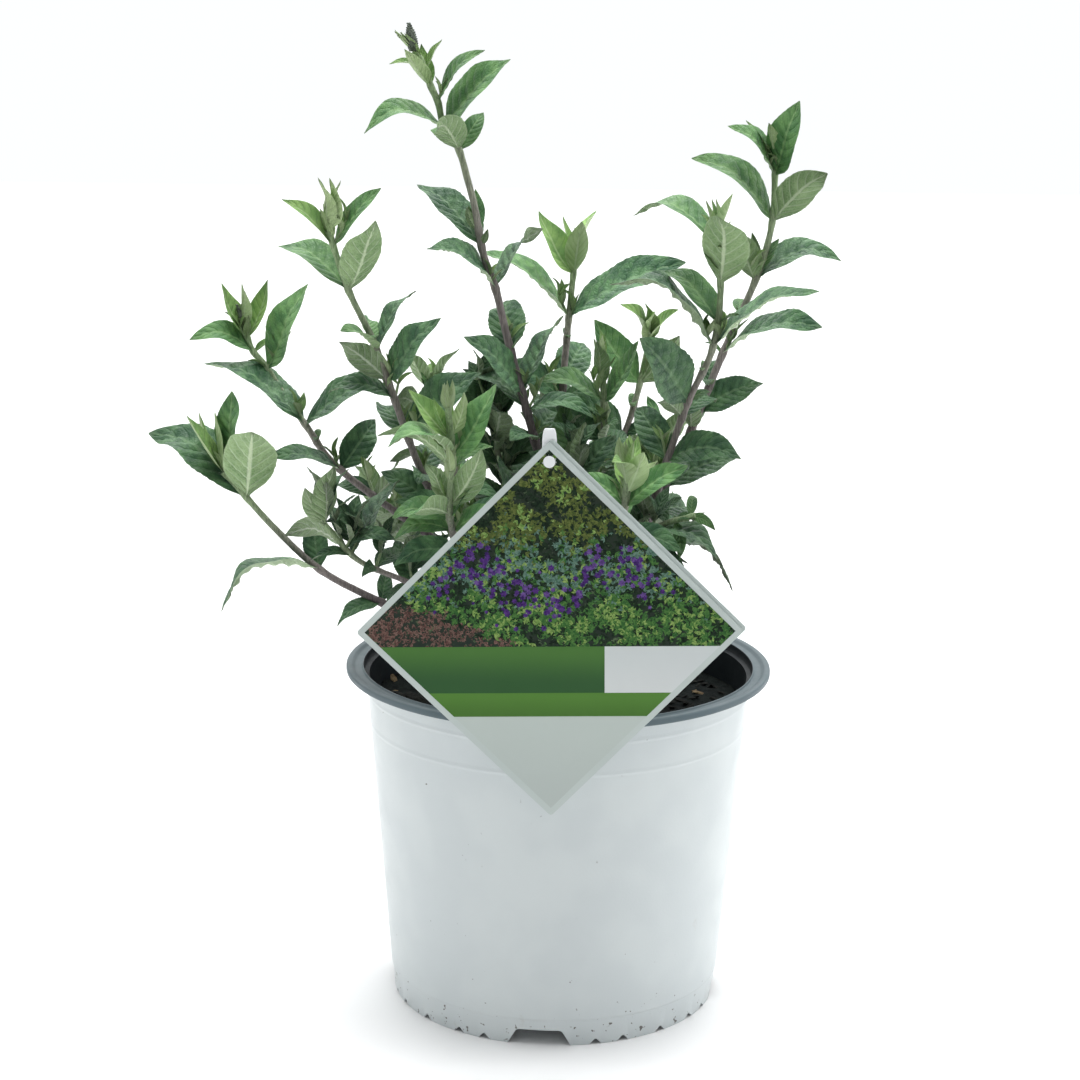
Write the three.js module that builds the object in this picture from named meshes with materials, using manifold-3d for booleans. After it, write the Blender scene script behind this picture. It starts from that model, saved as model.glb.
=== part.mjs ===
// A young butterfly bush in its nursery pot: a thin-walled pot with a scalloped foot, the potting
// mix that fills it, a short woody crown, nine bare boughs, and the leafy shoots that they carry,
// with a diamond-shaped plant tag on a plastic holder in front.
//
// Millimetres. +Z is up, -Y is the side of the tag, and the origin is the middle of the underside
// of the pot. Every shoot is one fused solid: a tapering stem with opposite pairs of leaves.
import * as THREE from "three";
import { mergeVertices } from "three/addons/utils/BufferGeometryUtils.js";
import Module from "manifold-3d";

const wasm = await Module();
wasm.setup();

// ---------------------------------------------------------------- driving dimensions

const GAP = 0.3; // clearance between two solids that meet
const DETAIL = 0.1; // the smallest step that a finished solid keeps

const POT = {
  height: 161,
  rimRadius: 100,
  rimInner: 91.6,
  lipDepth: 3,
  grooveDepth: 1.4,
  wallTopRadius: 90.6,
  footRadius: 77.5,
  wall: 1.4,
  footBand: 12.5,
  footStep: 0.5,
  padRadius: 52,
  padSlope: 3,
  skirt: 2.5,
  skirtInset: 2,
  channelHeight: 8,
  edge: 0.9,
  facets: 40,
};
const NOTCH = {
  quarters: 4,
  firstAngle: -95.2,
  wide: { mouth: 29, top: 21.5, height: 7.6 },
  small: { mouth: 6, top: 1.4, height: 2.6 },
  smallOffsets: [19.5, 29.5, 45, 60.5, 70.5],
  reach: 12,
};
const DRAIN = { count: 4, radius: 5, ring: 63, length: 6, facets: 8 };

const MIX = {
  top: 143,
  roughness: 1.6,
  seatRadius: 15,
  seatTop: 145,
  edgeDrop: 2,
  rings: [27, 42, 57, 72],
  facets: 24,
};

const TAG = {
  side: 118,
  corner: 2.5,
  thickness: 0.6,
  centre: [-4.5, 203.9],
  front: -104,
  plyGap: 0.3,
  plyShift: [1.3, 1],
  turn: 1,
  holeRadius: 3.1,
  holeDrop: 8.9,
};
const HOLDER = {
  width: 6.2,
  thickness: 1.5,
  foot: 95,
  footY: -81.5,
  bendDrop: 8,
  topRise: 5,
  taper: 0.7,
  studRadius: 2.6,
  studSunk: 0.5,
  studProud: 0.4,
};

const CROWN = {
  footRadius: 11.5,
  flare: 1.6,
  flareHeight: 4,
  topRadius: 8.5,
  shoulder: 0.8,
  crest: 0.62,
  height: 27,
  x: -2,
  y: 1,
  facets: 10,
};

const STEM = { sides: 4, step: 17, tipRadius: 0.8, leafGap: 0.45 };
const BUD = { sides: 5, step: 6, radius: 2.7, tipRadius: 0.7 };
const BOUGH = { sides: 6, step: 14, baseRadius: 2.7, tipRadius: 2.1 };

const LEAF = {
  keel: 0.9,
  slimmest: 0.29,
  fullest: 0.42,
  fullLength: 42,
  shortLength: 16,
  arch: 0.1,
  archRise: 45,
  archFade: 30,
  archRange: [-0.7, 1.3],
  fold: 0.12,
  stations: [[0.15, 0.64], [0.42, 1], [0.76, 0.66]],
  shortStations: [[0.26, 0.9], [0.66, 0.8]],
  shortUpTo: 24,
  turnJitter: 4,
  riseJitter: 3,
  sizeJitter: 0.04,
  tiltJitter: 8,
  widthJitter: 0.1,
  archJitter: 0.3,
  tries: [0, 12, -12, 24, -24],
};
const RULED = { firstNode: 0.9, lowRise: 8, highRise: 62, otherRise: -6, otherLength: 0.94 };
const SEED = 20241;

// Bare boughs, each a smooth limb through a few places, from the crown outwards.
const BOUGHS = {
  bough_centre: [[-2, 1, 160], [-5, 0, 200], [-8, 0, 252]],
  bough_left: [[-2, 1, 163], [-22, -4, 186], [-46, -6, 212]],
  bough_low_left: [[-2, 1, 151], [-32, -14, 166], [-62, -22, 185]],
  bough_front_left: [[-2, 1, 158], [-22, -28, 182], [-36, -42, 208]],
  bough_front_right: [[-2, 1, 158], [10, -26, 184], [17, -46, 212]],
  bough_right: [[-2, 1, 155], [22, -3, 186], [38, 1, 223]],
  bough_back_right: [[-2, 1, 161], [11, 28, 186], [20, 56, 218]],
  bough_back: [[-2, 1, 166], [-2, 22, 205], [0, 38, 252]],
  bough_back_left: [[-2, 1, 154], [-20, 30, 176], [-34, 54, 200]],
};

// Leafy shoots, each with the stem that runs on from its bough. A row of "pairs" is one node of the
// stem with its two opposite leaves: the height of the node, the heading of the first leaf (0 is +X,
// 90 is +Y), then the rise, length and tilt of the first leaf and of the second, and, where the
// second isn't opposite, its extra turn. Tilt is how far the face of a leaf is turned to the -Y side.
// A shoot with "nodes" in place of pairs grows them by rule.
const SHOOTS = {
  shoot_tall: {
    stem: [
      [-8, 0, 252], [-26, 1, 317], [-31, 2, 337], [-37, 2, 354], [-41, 2, 375], [-44, 3, 386],
      [-49, 3, 402], [-55, 4, 410], [-58, 4, 422], [-61, 5, 428], [-66, 5, 441], [-69, 5, 444],
    ],
    radius: 2,
    bud: [[-69, 5, 444], [-70, 5, 450], [-71, 5, 456]],
    pairs: [
      [436, -158, 5, 17, 18, 60, 16, 38, -35],
      [428, -130, 46, 26, -8, 71, 20, 13, 84],
      [422, -20, 47, 34, 31, 68, 8, 20, -2],
      [410, -162, -4, 39, 15, 44, 46, 46, -38],
      [400, -103, 24, 34, -17, 44, 24, 52, -30],
      [364, 109, 73, 20, -25, 64, 12, -61, -94],
      [357, 139, 35, 46, 12, 59, 10, -36, -15],
      [338, -148, 29, 41, 31, 45, 36, -15, 6],
      [309, 93, 33, 36, 18, 44, 12, 30, 44],
      [290, -140, 40, 46, 54, 57, 42, -3, -2],
      [281, 155, 11, 37, 5, -2, 32, 32, 8],
      [267, 65, 12, 30, 20, 8, 28, 20],
    ],
  },
  shoot_left_front: {
    stem: [[-43, -6, 210], [-63, -24, 255], [-85, -33, 318], [-96, -36, 342], [-104, -40, 368]],
    radius: 1.8,
    pairs: [
      [368, -107, 64, 28, 35, 65, 27, -68, -157],
      [367, 55, 72, 23, -50, 82, 17, 55, 1],
      [361, -160, 44, 31, 36, 49, 34, 30, -28],
      [341, 155, 27, 41, 14, 57, 41, 0, -26],
      [318, 105, 21, 22, -9, 15, 12, 0, -5],
      [314, 32, 49, 33, -7, 26, 30, 18, 28],
      [300, -24, 50, 42, 55, 39, 30, -61, 49],
      [291, 64, -18, 30, -48, 6, 30, 30, -46],
      [273, -14, 43, 47, 50, 22, 32, 23, -39],
      [254, 83, 20, 30, 30, 5, 26, 30, 4],
      [240, -19, 12, 31, 40, 26, 31, 45, -1],
    ],
  },
  shoot_left: {
    stem: [
      [-46, -6, 212], [-106, 2, 255], [-119, 12, 270], [-130, 20, 283], [-141, 27, 298],
      [-146, 29, 303], [-150, 30, 315],
    ],
    radius: 1.8,
    pairs: [
      [315, -102, 85, 21, 65, 53, 22, -63, -160],
      [309, -164, 68, 30, 40, 72, 29, 58, -21],
      [302, -162, 11, 32, 44, 33, 13, 30, -9],
      [295, -18, 61, 47, 53, 27, 11, 0, 46],
      [271, 165, 29, 55, 4, 33, 48, 38, -8],
      [264, 82, 22, 10, 0, 12, 9, 0, 13],
      [252, -159, 13, 35, 20, 43, 33, 40, 29],
      [240, 146, 4, 24, 41, 36, 24, -77, 12],
      [232, 131, -43, 28, -28, 30, 30, 40, 39],
    ],
  },
  shoot_low_left: {
    stem: [[-62, -22, 185], [-84, -24, 196], [-109, -26, 210], [-130, -28, 230], [-153, -30, 257]],
    radius: 1.8,
    pairs: [
      [257, -165, 60, 30, 23, 83, 29, 19, -179],
      [256, 147, 59, 31, -33, 87, 38, 51, 24],
      [245, 154, 24, 57, 26, 49, 49, 2, -51],
      [211, -152, -18, 52, -3, 62, 27, 16, 80],
      [195, -153, -23, 24, 20, 28, 20, 20, 62],
    ],
  },
  twig_low_left: {
    stem: [[-36, -42, 208], [-56, -46, 206], [-72, -50, 213], [-91, -55, 223], [-105, -60, 240]],
    radius: 1.4,
    pairs: [
      [240, -122, 54, 24, -44, 67, 31, 27, -123],
      [228, 153, 3, 34, -47, 16, 24, 30, 9],
      [225, 46, 47, 42, -15, -5, 20, 30, -25],
      [218, -112, -2, 16, 51, 7, 24, 6, -17],
      [210, -177, -38, 15, 36, 42, 26, 31, 113],
    ],
  },
  shoot_front_high: {
    stem: [[-36, -42, 208], [-46, -50, 245], [-48, -62, 270], [-50, -73, 296]],
    radius: 1.6,
    pairs: [
      [282, -4, 73, 20, -88, 66, 19, 49, 16],
      [280, -168, 52, 29, 52, 85, 24, 46, -164],
      [272, -17, 62, 39, 71, 11, 38, 4, 61],
      [266, 164, 18, 36, -55, 30, 22, 30, 2],
      [252, 85, 22, 28, 20, 10, 14, 0],
      [238, 172, 15, 32, 45, 20, 28, 45],
      [226, 95, 10, 30, 30, 0, 18, 20],
    ],
  },
  shoot_front_low: {
    stem: [[-35, -41, 206], [-45, -62, 228], [-49, -77, 250], [-48, -84, 270]],
    radius: 1.5,
    pairs: [
      [256, 102, 69, 18, -39, 73, 15, 46, -99],
      [253, -144, 58, 23, -34, 59, 31, -66, -68],
      [249, -119, 11, 31, -44, 35, 15, 30, -31],
      [247, 155, -9, 30, 40, 52, 22, 40],
      [240, 175, -14, 26, 45, 10, 26, 45],
      [228, -172, -8, 30, 45, 5, 24, 30],
    ],
  },
  shoot_back: {
    stem: [[0, 38, 252], [1, 42, 290], [3, 48, 316], [6, 57, 348]],
    radius: 1.8,
    pairs: [
      [348, 65, 38, 29, -40, 69, 18, 44, -49],
      [338, -171, 62, 36, 52, 62, 29, -6, -85],
      [318, -16, 29, 65, 34, 34, 54, 22, 28],
      [308, 95, 22, 10, 0, 15, 9, 0],
      [287, 73, 22, 36, 34, 10, 12, 20, 7],
      [279, -5, 22, 20, 45, 24, 36, 45],
      [265, 92, 12, 38, 20, -5, 22, 20],
    ],
  },
  shoot_centre: {
    stem: [[-2, 24, 208], [10, 22, 232], [19, 20, 258], [20, 20, 280], [18, 20, 304]],
    radius: 1.6,
    pairs: [
      [291, -108, 66, 24, 14, 70, 9, 30, -17],
      [282, -33, 58, 35, 50, 17, 36, 33, 50],
      [272, 100, 38, 14, 20, 38, 15, 20],
      [263, 148, 25, 30, 60, 32, 26, 40, -40],
      [250, 58, 20, 32, 40, 5, 28, 40],
      [238, 150, 8, 32, 45, 10, 30, 45],
    ],
  },
  shoot_back_right: {
    stem: [[20, 56, 218], [28, 66, 248], [36, 72, 271], [43, 80, 302]],
    radius: 1.7,
    pairs: [
      [302, -127, 39, 31, 44, 53, 27, 39, -155],
      [302, -52, 40, 27, 56, 41, 26, 54, 144],
      [282, -164, 54, 39, 61, 53, 32, -83, -42],
      [270, 92, 28, 12, 20, 12, 12, 20],
      [256, 4, 20, 18, 45, 22, 36, 50],
      [241, 95, 10, 38, 20, 0, 24, 20],
      [229, 8, 8, 36, 40, 10, 32, 40],
    ],
  },
  shoot_right_front: {
    stem: [[34, -1, 212], [42, -15, 240], [57, -21, 290], [67, -24, 314], [70, -27, 340], [67, -30, 366]],
    radius: 1.8,
    pairs: [
      [366, -122, 63, 20, 21, 64, 20, 61, -157],
      [366, -73, 47, 28, 44, 82, 18, 67, 106],
      [363, 154, 14, 42, 6, 60, 12, 20, 19],
      [345, -99, 47, 45, 13, 45, 12, 0, 2],
      [327, 157, 38, 37, 23, 25, 12, 20, -10],
      [316, -163, 29, 56, 16, 30, 56, 7, -33],
      [304, 80, 20, 10, 20, 15, 8, 0],
      [290, -127, 42, 52, 99, 20, 12, 40, -22],
      [283, 57, 4, 28, 21, 22, 24, -36, 1],
      [262, 116, 37, 36, 43, 6, 35, 44, 40],
      [248, -125, 0, 24, 20, 12, 30, 40],
    ],
  },
  shoot_right: {
    stem: [[38, 1, 223], [58, 6, 266], [76, 12, 311], [90, 16, 344], [96, 19, 367], [97, 23, 398]],
    radius: 2,
    pairs: [
      [396, -165, 49, 24, 20, 55, 22, 28, -123],
      [389, -156, 41, 35, 38, 68, 38, 88, -78],
      [368, -174, 35, 50, 37, 39, 39, -50, -47],
      [345, -144, 73, 19, 10, 53, 19, 19, -9],
      [341, 16, 13, 44, 12, 57, 30, -25, 23],
      [325, 92, 20, 18, 0, 10, 14, 0],
      [307, -21, 17, 49, 17, 30, 10, 20, 8],
      [292, 85, 20, 22, 0, 10, 16, 0],
      [280, 19, 21, 33, 54, 24, 10, 40, 4],
      [272, -95, 38, 24, 20, 20, 28, 0],
      [245, -10, 18, 39, 32, 14, 30, 40, -5],
      [233, 52, -15, 38, 43, 0, 28, 40, -36],
      [234, 88, 8, 30, 20, -8, 24, 20],
    ],
  },
  shoot_front_right: {
    stem: [[17, -46, 212], [25, -56, 236], [28, -66, 252], [29, -72, 272]],
    radius: 1.6,
    pairs: [
      [264, 62, 61, 21, 5, 78, 20, -84, -62],
      [260, 19, 37, 18, -103, 32, 28, 30, 53],
      [257, -67, 52, 30, -39, 52, 30, 0, -26],
      [251, -20, 36, 36, 50, 20, 26, 40, 1],
      [240, 92, 22, 32, 20, 0, 18, 0],
      [229, 172, 5, 30, 40, 0, 32, 40],
    ],
  },
  twig_low_right: {
    stem: [[15, -41, 206], [28, -35, 222], [42, -38, 235], [60, -50, 244]],
    radius: 1.4,
    pairs: [
      [243, 84, 29, 14, 3, -21, 13, 66, 76],
      [240, -37, 5, 12, 40, -80, 18, 72, -160],
      [234, -36, -13, 37, 8, 10, 26, 40, 9],
      [223, 5, -20, 54, 0, 5, 18, 30, 33],
      [221, -30, -14, 35, 25, 10, 26, 40],
    ],
  },
  shoot_inner_left: {
    stem: [[-5, 0, 204], [-22, 12, 232], [-36, 20, 284]],
    radius: 1.6,
    nodes: 8,
    firstHeading: 175,
    leaf: [30, 38],
    tilt: 45,
  },
  shoot_inner_right: {
    stem: [[-4, 0, 196], [4, -6, 220], [6, -14, 262]],
    radius: 1.5,
    nodes: 6,
    firstHeading: 20,
    leaf: [28, 34],
    tilt: 45,
  },
  shoot_rear_left: {
    stem: [[-34, 54, 200], [-46, 76, 230], [-66, 98, 275]],
    radius: 1.7,
    nodes: 7,
    firstHeading: 15,
    leaf: [26, 42],
    tilt: -35,
  },
  shoot_rear_low_left: {
    stem: [[-28, 44, 189], [-69, 54, 204], [-88, 66, 220]],
    radius: 1.5,
    nodes: 7,
    firstHeading: 60,
    leaf: [28, 42],
    tilt: -35,
  },
  shoot_rear_right: {
    stem: [[15, 41, 200], [36, 66, 216], [52, 94, 248]],
    radius: 1.6,
    nodes: 6,
    firstHeading: 35,
    leaf: [26, 42],
    tilt: -35,
  },
  shoot_rear_low_right: {
    stem: [[9, 27, 186], [35, 42, 196], [58, 60, 208]],
    radius: 1.5,
    nodes: 5,
    firstHeading: 100,
    leaf: [24, 36],
    tilt: -35,
  },
  shoot_rear_centre: {
    stem: [[-2, 24, 207], [-6, 54, 222], [-8, 92, 250]],
    radius: 1.6,
    nodes: 6,
    firstHeading: 0,
    leaf: [26, 42],
    tilt: -35,
  },
};

const FINISH = {
  pot: { color: 0xe9ecee, roughness: 0.45 },
  mix: { color: 0x2b2019, roughness: 1 },
  tag: { color: 0xdfe4e2, roughness: 0.4 },
  holder: { color: 0xf2f4f4, roughness: 0.5 },
  bark: { color: 0x6b5a52, roughness: 0.9 },
  foliage: { color: 0x55714f, roughness: 0.8 },
};

// ---------------------------------------------------------------- helpers

const rad = THREE.MathUtils.degToRad;
const lerp = THREE.MathUtils.lerp;
const vec = (p) => new THREE.Vector3(...p);
const UP = new THREE.Vector3(0, 0, 1);

// A small seeded generator of numbers from 0 to 1.
function seededNumbers(seed) {
  let state = seed >>> 0;
  return () => {
    state = (state + 0x6d2b79f5) >>> 0;
    let t = state;
    t = Math.imul(t ^ (t >>> 15), t | 1);
    t ^= t + Math.imul(t ^ (t >>> 7), t | 61);
    return ((t ^ (t >>> 14)) >>> 0) / 4294967296;
  };
}

// A closed three.js geometry as a manifold-3d solid.
function toSolid(geometry) {
  const bare = geometry.clone();
  bare.deleteAttribute("normal");
  bare.deleteAttribute("uv");
  const merged = mergeVertices(bare, 1e-4);
  return new wasm.Manifold(
    new wasm.Mesh({
      numProp: 3,
      vertProperties: merged.attributes.position.array,
      triVerts: new Uint32Array(merged.index.array),
    }),
  );
}

// A manifold-3d solid as a three.js geometry.
function toGeometry(solid) {
  const mesh = solid.getMesh();
  const geometry = new THREE.BufferGeometry();
  geometry.setAttribute("position", new THREE.BufferAttribute(mesh.vertProperties, 3));
  geometry.setIndex(new THREE.BufferAttribute(mesh.triVerts, 1));
  geometry.computeVertexNormals();
  return geometry;
}

// The largest body of a solid: what a cut leaves loose is dropped.
function largestBody(solid) {
  const whole = solid.asOriginal().simplify(DETAIL);
  return whole.decompose().reduce((best, body) => (body.volume() > best.volume() ? body : best));
}

// The loft through rings of points, closed at both ends by a fan or by a single point.
function loft(rings) {
  const positions = [];
  const starts = [];
  for (const ring of rings) {
    starts.push(positions.length / 3);
    ring.forEach((p) => positions.push(p.x, p.y, p.z));
  }
  const faces = [];
  for (let i = 0; i < rings.length - 1; i++) {
    const [lower, upper] = [rings[i].length, rings[i + 1].length];
    const sides = Math.max(lower, upper);
    for (let k = 0; k < sides; k++) {
      const a = starts[i] + (k % lower);
      const b = starts[i] + ((k + 1) % lower);
      const c = starts[i + 1] + ((k + 1) % upper);
      const d = starts[i + 1] + (k % upper);
      if (lower > 1) faces.push(a, b, upper > 1 ? c : d);
      if (upper > 1) faces.push(a, c, d);
    }
  }
  const cap = (start, count, under) => {
    for (let k = 1; k < count - 1; k++) {
      faces.push(start, start + (under ? k + 1 : k), start + (under ? k : k + 1));
    }
  };
  cap(starts[0], rings[0].length, true);
  cap(starts.at(-1), rings.at(-1).length, false);
  const geometry = new THREE.BufferGeometry();
  geometry.setAttribute("position", new THREE.Float32BufferAttribute(positions, 3));
  geometry.setIndex(faces);
  return geometry;
}

// A lathe about Z through [radius, height] points that start and end on the axis.
function turned(profile, facets) {
  const outline = profile.map(([radius, height]) => new THREE.Vector2(radius, height));
  return new THREE.LatheGeometry(outline, facets).rotateX(Math.PI / 2);
}

// A tapering round limb along a smooth curve through the given places.
function limb(places, startRadius, endRadius, { sides, step }, swell = 0) {
  const curve = new THREE.CatmullRomCurve3(places.map(vec), false, "centripetal");
  const steps = Math.max(3, Math.round(curve.getLength() / step));
  const frames = curve.computeFrenetFrames(steps);
  const rings = [];
  for (let i = 0; i <= steps; i++) {
    const centre = curve.getPointAt(i / steps);
    if (i === 0) centre.addScaledVector(frames.tangents[0], -swell);
    if (i === steps) centre.addScaledVector(frames.tangents[steps], swell);
    const radius = lerp(startRadius, endRadius, i / steps) + swell;
    rings.push(
      Array.from({ length: sides }, (_, k) => {
        const angle = (2 * Math.PI * k) / sides;
        return centre
          .clone()
          .addScaledVector(frames.normals[i], radius * Math.cos(angle))
          .addScaledVector(frames.binormals[i], radius * Math.sin(angle));
      }),
    );
  }
  return { curve, solid: toSolid(loft(rings)) };
}

// ---------------------------------------------------------------- pot and potting mix

const wallRadius = (z) => lerp(POT.footRadius, POT.wallTopRadius, z / (POT.height - POT.lipDepth));
const innerRadius = (z) => wallRadius(z) - POT.wall;

// A cutter for the foot: an arch that runs out along +X through the skirt, then turned about Z.
function footCutter({ mouth, top, height }, angle) {
  const shoulder = 0.15 * height;
  const arch = new THREE.Shape();
  arch.moveTo(-mouth / 2, -1);
  arch.lineTo(mouth / 2, -1);
  arch.lineTo(mouth / 2, 0);
  arch.lineTo(top / 2, height - shoulder);
  arch.lineTo(top / 2 - shoulder, height);
  arch.lineTo(shoulder - top / 2, height);
  arch.lineTo(-top / 2, height - shoulder);
  arch.lineTo(-mouth / 2, 0);
  return toSolid(
    new THREE.ExtrudeGeometry(arch, { depth: NOTCH.reach, bevelEnabled: false })
      .rotateX(Math.PI / 2)
      .rotateZ(Math.PI / 2)
      .translate(POT.footRadius - NOTCH.reach / 2, 0, 0)
      .rotateZ(rad(angle)),
  );
}

function drainCutter(angle) {
  return toSolid(
    new THREE.CylinderGeometry(DRAIN.radius, DRAIN.radius, DRAIN.length, DRAIN.facets)
      .rotateX(Math.PI / 2)
      .translate(DRAIN.ring, 0, POT.channelHeight + POT.wall / 2)
      .rotateZ(rad(angle)),
  );
}

function buildPot() {
  const { height, rimRadius, rimInner, lipDepth, grooveDepth, wall, padRadius, footRadius, edge } = POT;
  const lipBottom = height - lipDepth;
  const ledge = lipBottom - wall;
  const floor = POT.channelHeight + wall;
  const profile = [
    [0, 0],
    [padRadius, 0],
    [padRadius + POT.padSlope, POT.channelHeight],
    [footRadius - POT.skirtInset - POT.skirt, POT.channelHeight],
    [footRadius - POT.skirtInset, 0],
    [footRadius - POT.footStep, 0],
    [wallRadius(POT.footBand) - POT.footStep, POT.footBand],
    [wallRadius(POT.footBand), POT.footBand + POT.footStep],
    [wallRadius(ledge - wall), ledge - wall],
    [rimInner + wall, lipBottom],
    [rimRadius - edge, lipBottom],
    [rimRadius, lipBottom + edge],
    [rimRadius, height - edge],
    [rimRadius - edge, height],
    [rimRadius - 3 * edge, height],
    [rimRadius - 3 * edge - grooveDepth, height - grooveDepth],
    [rimInner + edge, height - grooveDepth],
    [rimInner + edge / 2, height - edge],
    [rimInner, height - edge],
    [rimInner, ledge + edge],
    [innerRadius(ledge), ledge],
    [innerRadius(floor), floor],
    [padRadius + POT.padSlope - wall, floor],
    [padRadius - wall, wall],
    [0, wall],
  ];
  let pot = toSolid(turned(profile, POT.facets));
  for (let quarter = 0; quarter < NOTCH.quarters; quarter++) {
    const middle = NOTCH.firstAngle + (360 / NOTCH.quarters) * quarter;
    pot = pot.subtract(footCutter(NOTCH.wide, middle));
    for (const offset of NOTCH.smallOffsets) {
      pot = pot.subtract(footCutter(NOTCH.small, middle + offset));
    }
  }
  for (let i = 0; i < DRAIN.count; i++) {
    pot = pot.subtract(drainCutter(NOTCH.firstAngle + (360 / DRAIN.count) * i));
  }
  return largestBody(pot);
}

// The mix fills the pot to a rough top, with a level seat under the crown of the plant.
function buildMix() {
  const random = seededNumbers(SEED + 1);
  const { wall, padRadius, padSlope, channelHeight } = POT;
  const circle = (radius, height) =>
    Array.from({ length: MIX.facets }, (_, k) => {
      const angle = (2 * Math.PI * k) / MIX.facets;
      return vec([radius * Math.cos(angle), radius * Math.sin(angle), height(radius)]);
    });
  const rough = () => MIX.top + MIX.roughness * (2 * random() - 1);
  const shrink = Math.cos(Math.PI / POT.facets);
  const floor = channelHeight + wall + GAP;
  const edge = (z) => innerRadius(z) * shrink - GAP;
  const rings = [
    circle(padRadius * shrink - wall - GAP, () => wall + GAP),
    circle(padRadius * shrink + padSlope - wall - GAP, () => floor),
    circle(edge(floor), () => floor),
    circle(edge(MIX.top), () => MIX.top - MIX.edgeDrop),
    ...MIX.rings.toReversed().map((radius) => circle(radius, rough)),
    circle(MIX.seatRadius, () => MIX.seatTop),
  ];
  return toSolid(loft(rings));
}

// ---------------------------------------------------------------- tag and holder

function diamondPly(front, shift) {
  const half = TAG.side / 2;
  const r = TAG.corner;
  const plate = new THREE.Shape();
  plate.moveTo(-half + r, -half);
  plate.lineTo(half - r, -half);
  plate.absarc(half - r, -half + r, r, -Math.PI / 2, 0);
  plate.lineTo(half, half - r);
  plate.absarc(half - r, half - r, r, 0, Math.PI / 2);
  plate.lineTo(-half + r, half);
  plate.absarc(-half + r, half - r, r, Math.PI / 2, Math.PI);
  plate.lineTo(-half, -half + r);
  plate.absarc(-half + r, -half + r, r, Math.PI, 1.5 * Math.PI);
  const turn = Math.PI / 4 + rad(TAG.turn);
  const [holeX, holeZ] = holePlace();
  const middle = new THREE.Vector2(holeX - TAG.centre[0] - shift[0], holeZ - TAG.centre[1] - shift[1]);
  middle.rotateAround(new THREE.Vector2(), -turn);
  const hole = new THREE.Path();
  hole.absarc(middle.x, middle.y, TAG.holeRadius, 0, 2 * Math.PI, true);
  plate.holes.push(hole);
  const options = { depth: TAG.thickness, bevelEnabled: false, curveSegments: 3 };
  return new THREE.ExtrudeGeometry(plate, options)
    .rotateZ(turn)
    .rotateX(Math.PI / 2)
    .translate(TAG.centre[0] + shift[0], front + TAG.thickness, TAG.centre[1] + shift[1]);
}

const backPlyFront = TAG.front + TAG.thickness + TAG.plyGap;
const holderFront = backPlyFront + TAG.thickness + GAP;

// Where the middle of the hole is, on the face of the tag.
function holePlace() {
  const reach = TAG.side / Math.SQRT2 - TAG.holeDrop;
  const turn = rad(TAG.turn);
  return [TAG.centre[0] - reach * Math.sin(turn), TAG.centre[1] + reach * Math.cos(turn)];
}

// A strip that stands in the mix, leans out over the rim and carries the tag on a stud.
function buildHolder(swell) {
  const [holeX, holeZ] = holePlace();
  const tagTop = TAG.centre[1] + TAG.side / Math.SQRT2;
  const middleY = holderFront + HOLDER.thickness / 2;
  const section = (y, z, fullness = 1) => {
    const w = (HOLDER.width * fullness) / 2 + swell;
    const t = HOLDER.thickness / 2 + swell;
    return [[-w, -t], [w, -t], [w, t], [-w, t]].map(([x, dy]) => vec([holeX + x, y + dy, z]));
  };
  const strip = toSolid(
    loft([
      section(HOLDER.footY, HOLDER.foot - swell),
      section(HOLDER.footY, MIX.top),
      section(middleY, holeZ - HOLDER.bendDrop),
      section(middleY, tagTop),
      section(middleY, tagTop + HOLDER.topRise + swell, HOLDER.taper),
    ]),
  );
  if (swell > 0) return strip;
  const studBack = holderFront + HOLDER.studSunk;
  const studLength = studBack - TAG.front + HOLDER.studProud;
  const stud = new THREE.CylinderGeometry(HOLDER.studRadius, HOLDER.studRadius, studLength, 12);
  return strip.add(toSolid(stud.translate(holeX, studBack - studLength / 2, holeZ)));
}

// ---------------------------------------------------------------- crown, boughs and shoots

function buildCrown(swell) {
  const { footRadius, flare, flareHeight, topRadius, shoulder, crest, height } = CROWN;
  const foot = MIX.seatTop + GAP;
  const profile = [
    [0, foot - swell],
    [footRadius + swell, foot - swell],
    [footRadius - flare + swell, foot + flareHeight],
    [topRadius + swell, foot + height * shoulder],
    [topRadius * crest + swell, foot + height + swell],
    [0, foot + height + swell],
  ];
  return toSolid(turned(profile, CROWN.facets).translate(CROWN.x, CROWN.y, 0));
}

// One leaf: a thin blade with a keel under its rib, arched along its length. The tilt rolls the
// blade about its length, so that its upper face turns to the -Y side.
function leafSolid({ root, heading, rise, tilt, length, width, arch }, swell = 0) {
  const level = new THREE.Vector3(Math.cos(heading), Math.sin(heading), 0);
  const chord = level.clone().multiplyScalar(Math.cos(rise)).addScaledVector(UP, Math.sin(rise));
  const above = level.clone().multiplyScalar(-Math.sin(rise)).addScaledVector(UP, Math.cos(rise));
  const roll = level.x < 0 ? -tilt : tilt;
  const side = new THREE.Vector3().crossVectors(above, chord).applyAxisAngle(chord, roll);
  const face = above.clone().applyAxisAngle(chord, roll);
  const bend = (u) => arch * length * 4 * u * (1 - u);
  const place = (u) => root.clone().addScaledVector(chord, u * length).addScaledVector(above, bend(u));
  const section = ([u, fullness]) => {
    const half = (fullness * width) / 2 + swell;
    const edge = (sign) =>
      place(u).addScaledVector(side, sign * half).addScaledVector(face, LEAF.fold * half + swell);
    return [edge(1), edge(-1), place(u).addScaledVector(face, -LEAF.keel - swell)];
  };
  const stations = length > LEAF.shortUpTo ? LEAF.stations : LEAF.shortStations;
  const tip = place(1).addScaledVector(chord, swell);
  return toSolid(loft([[root], ...stations.map(section), [tip]]));
}

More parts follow.
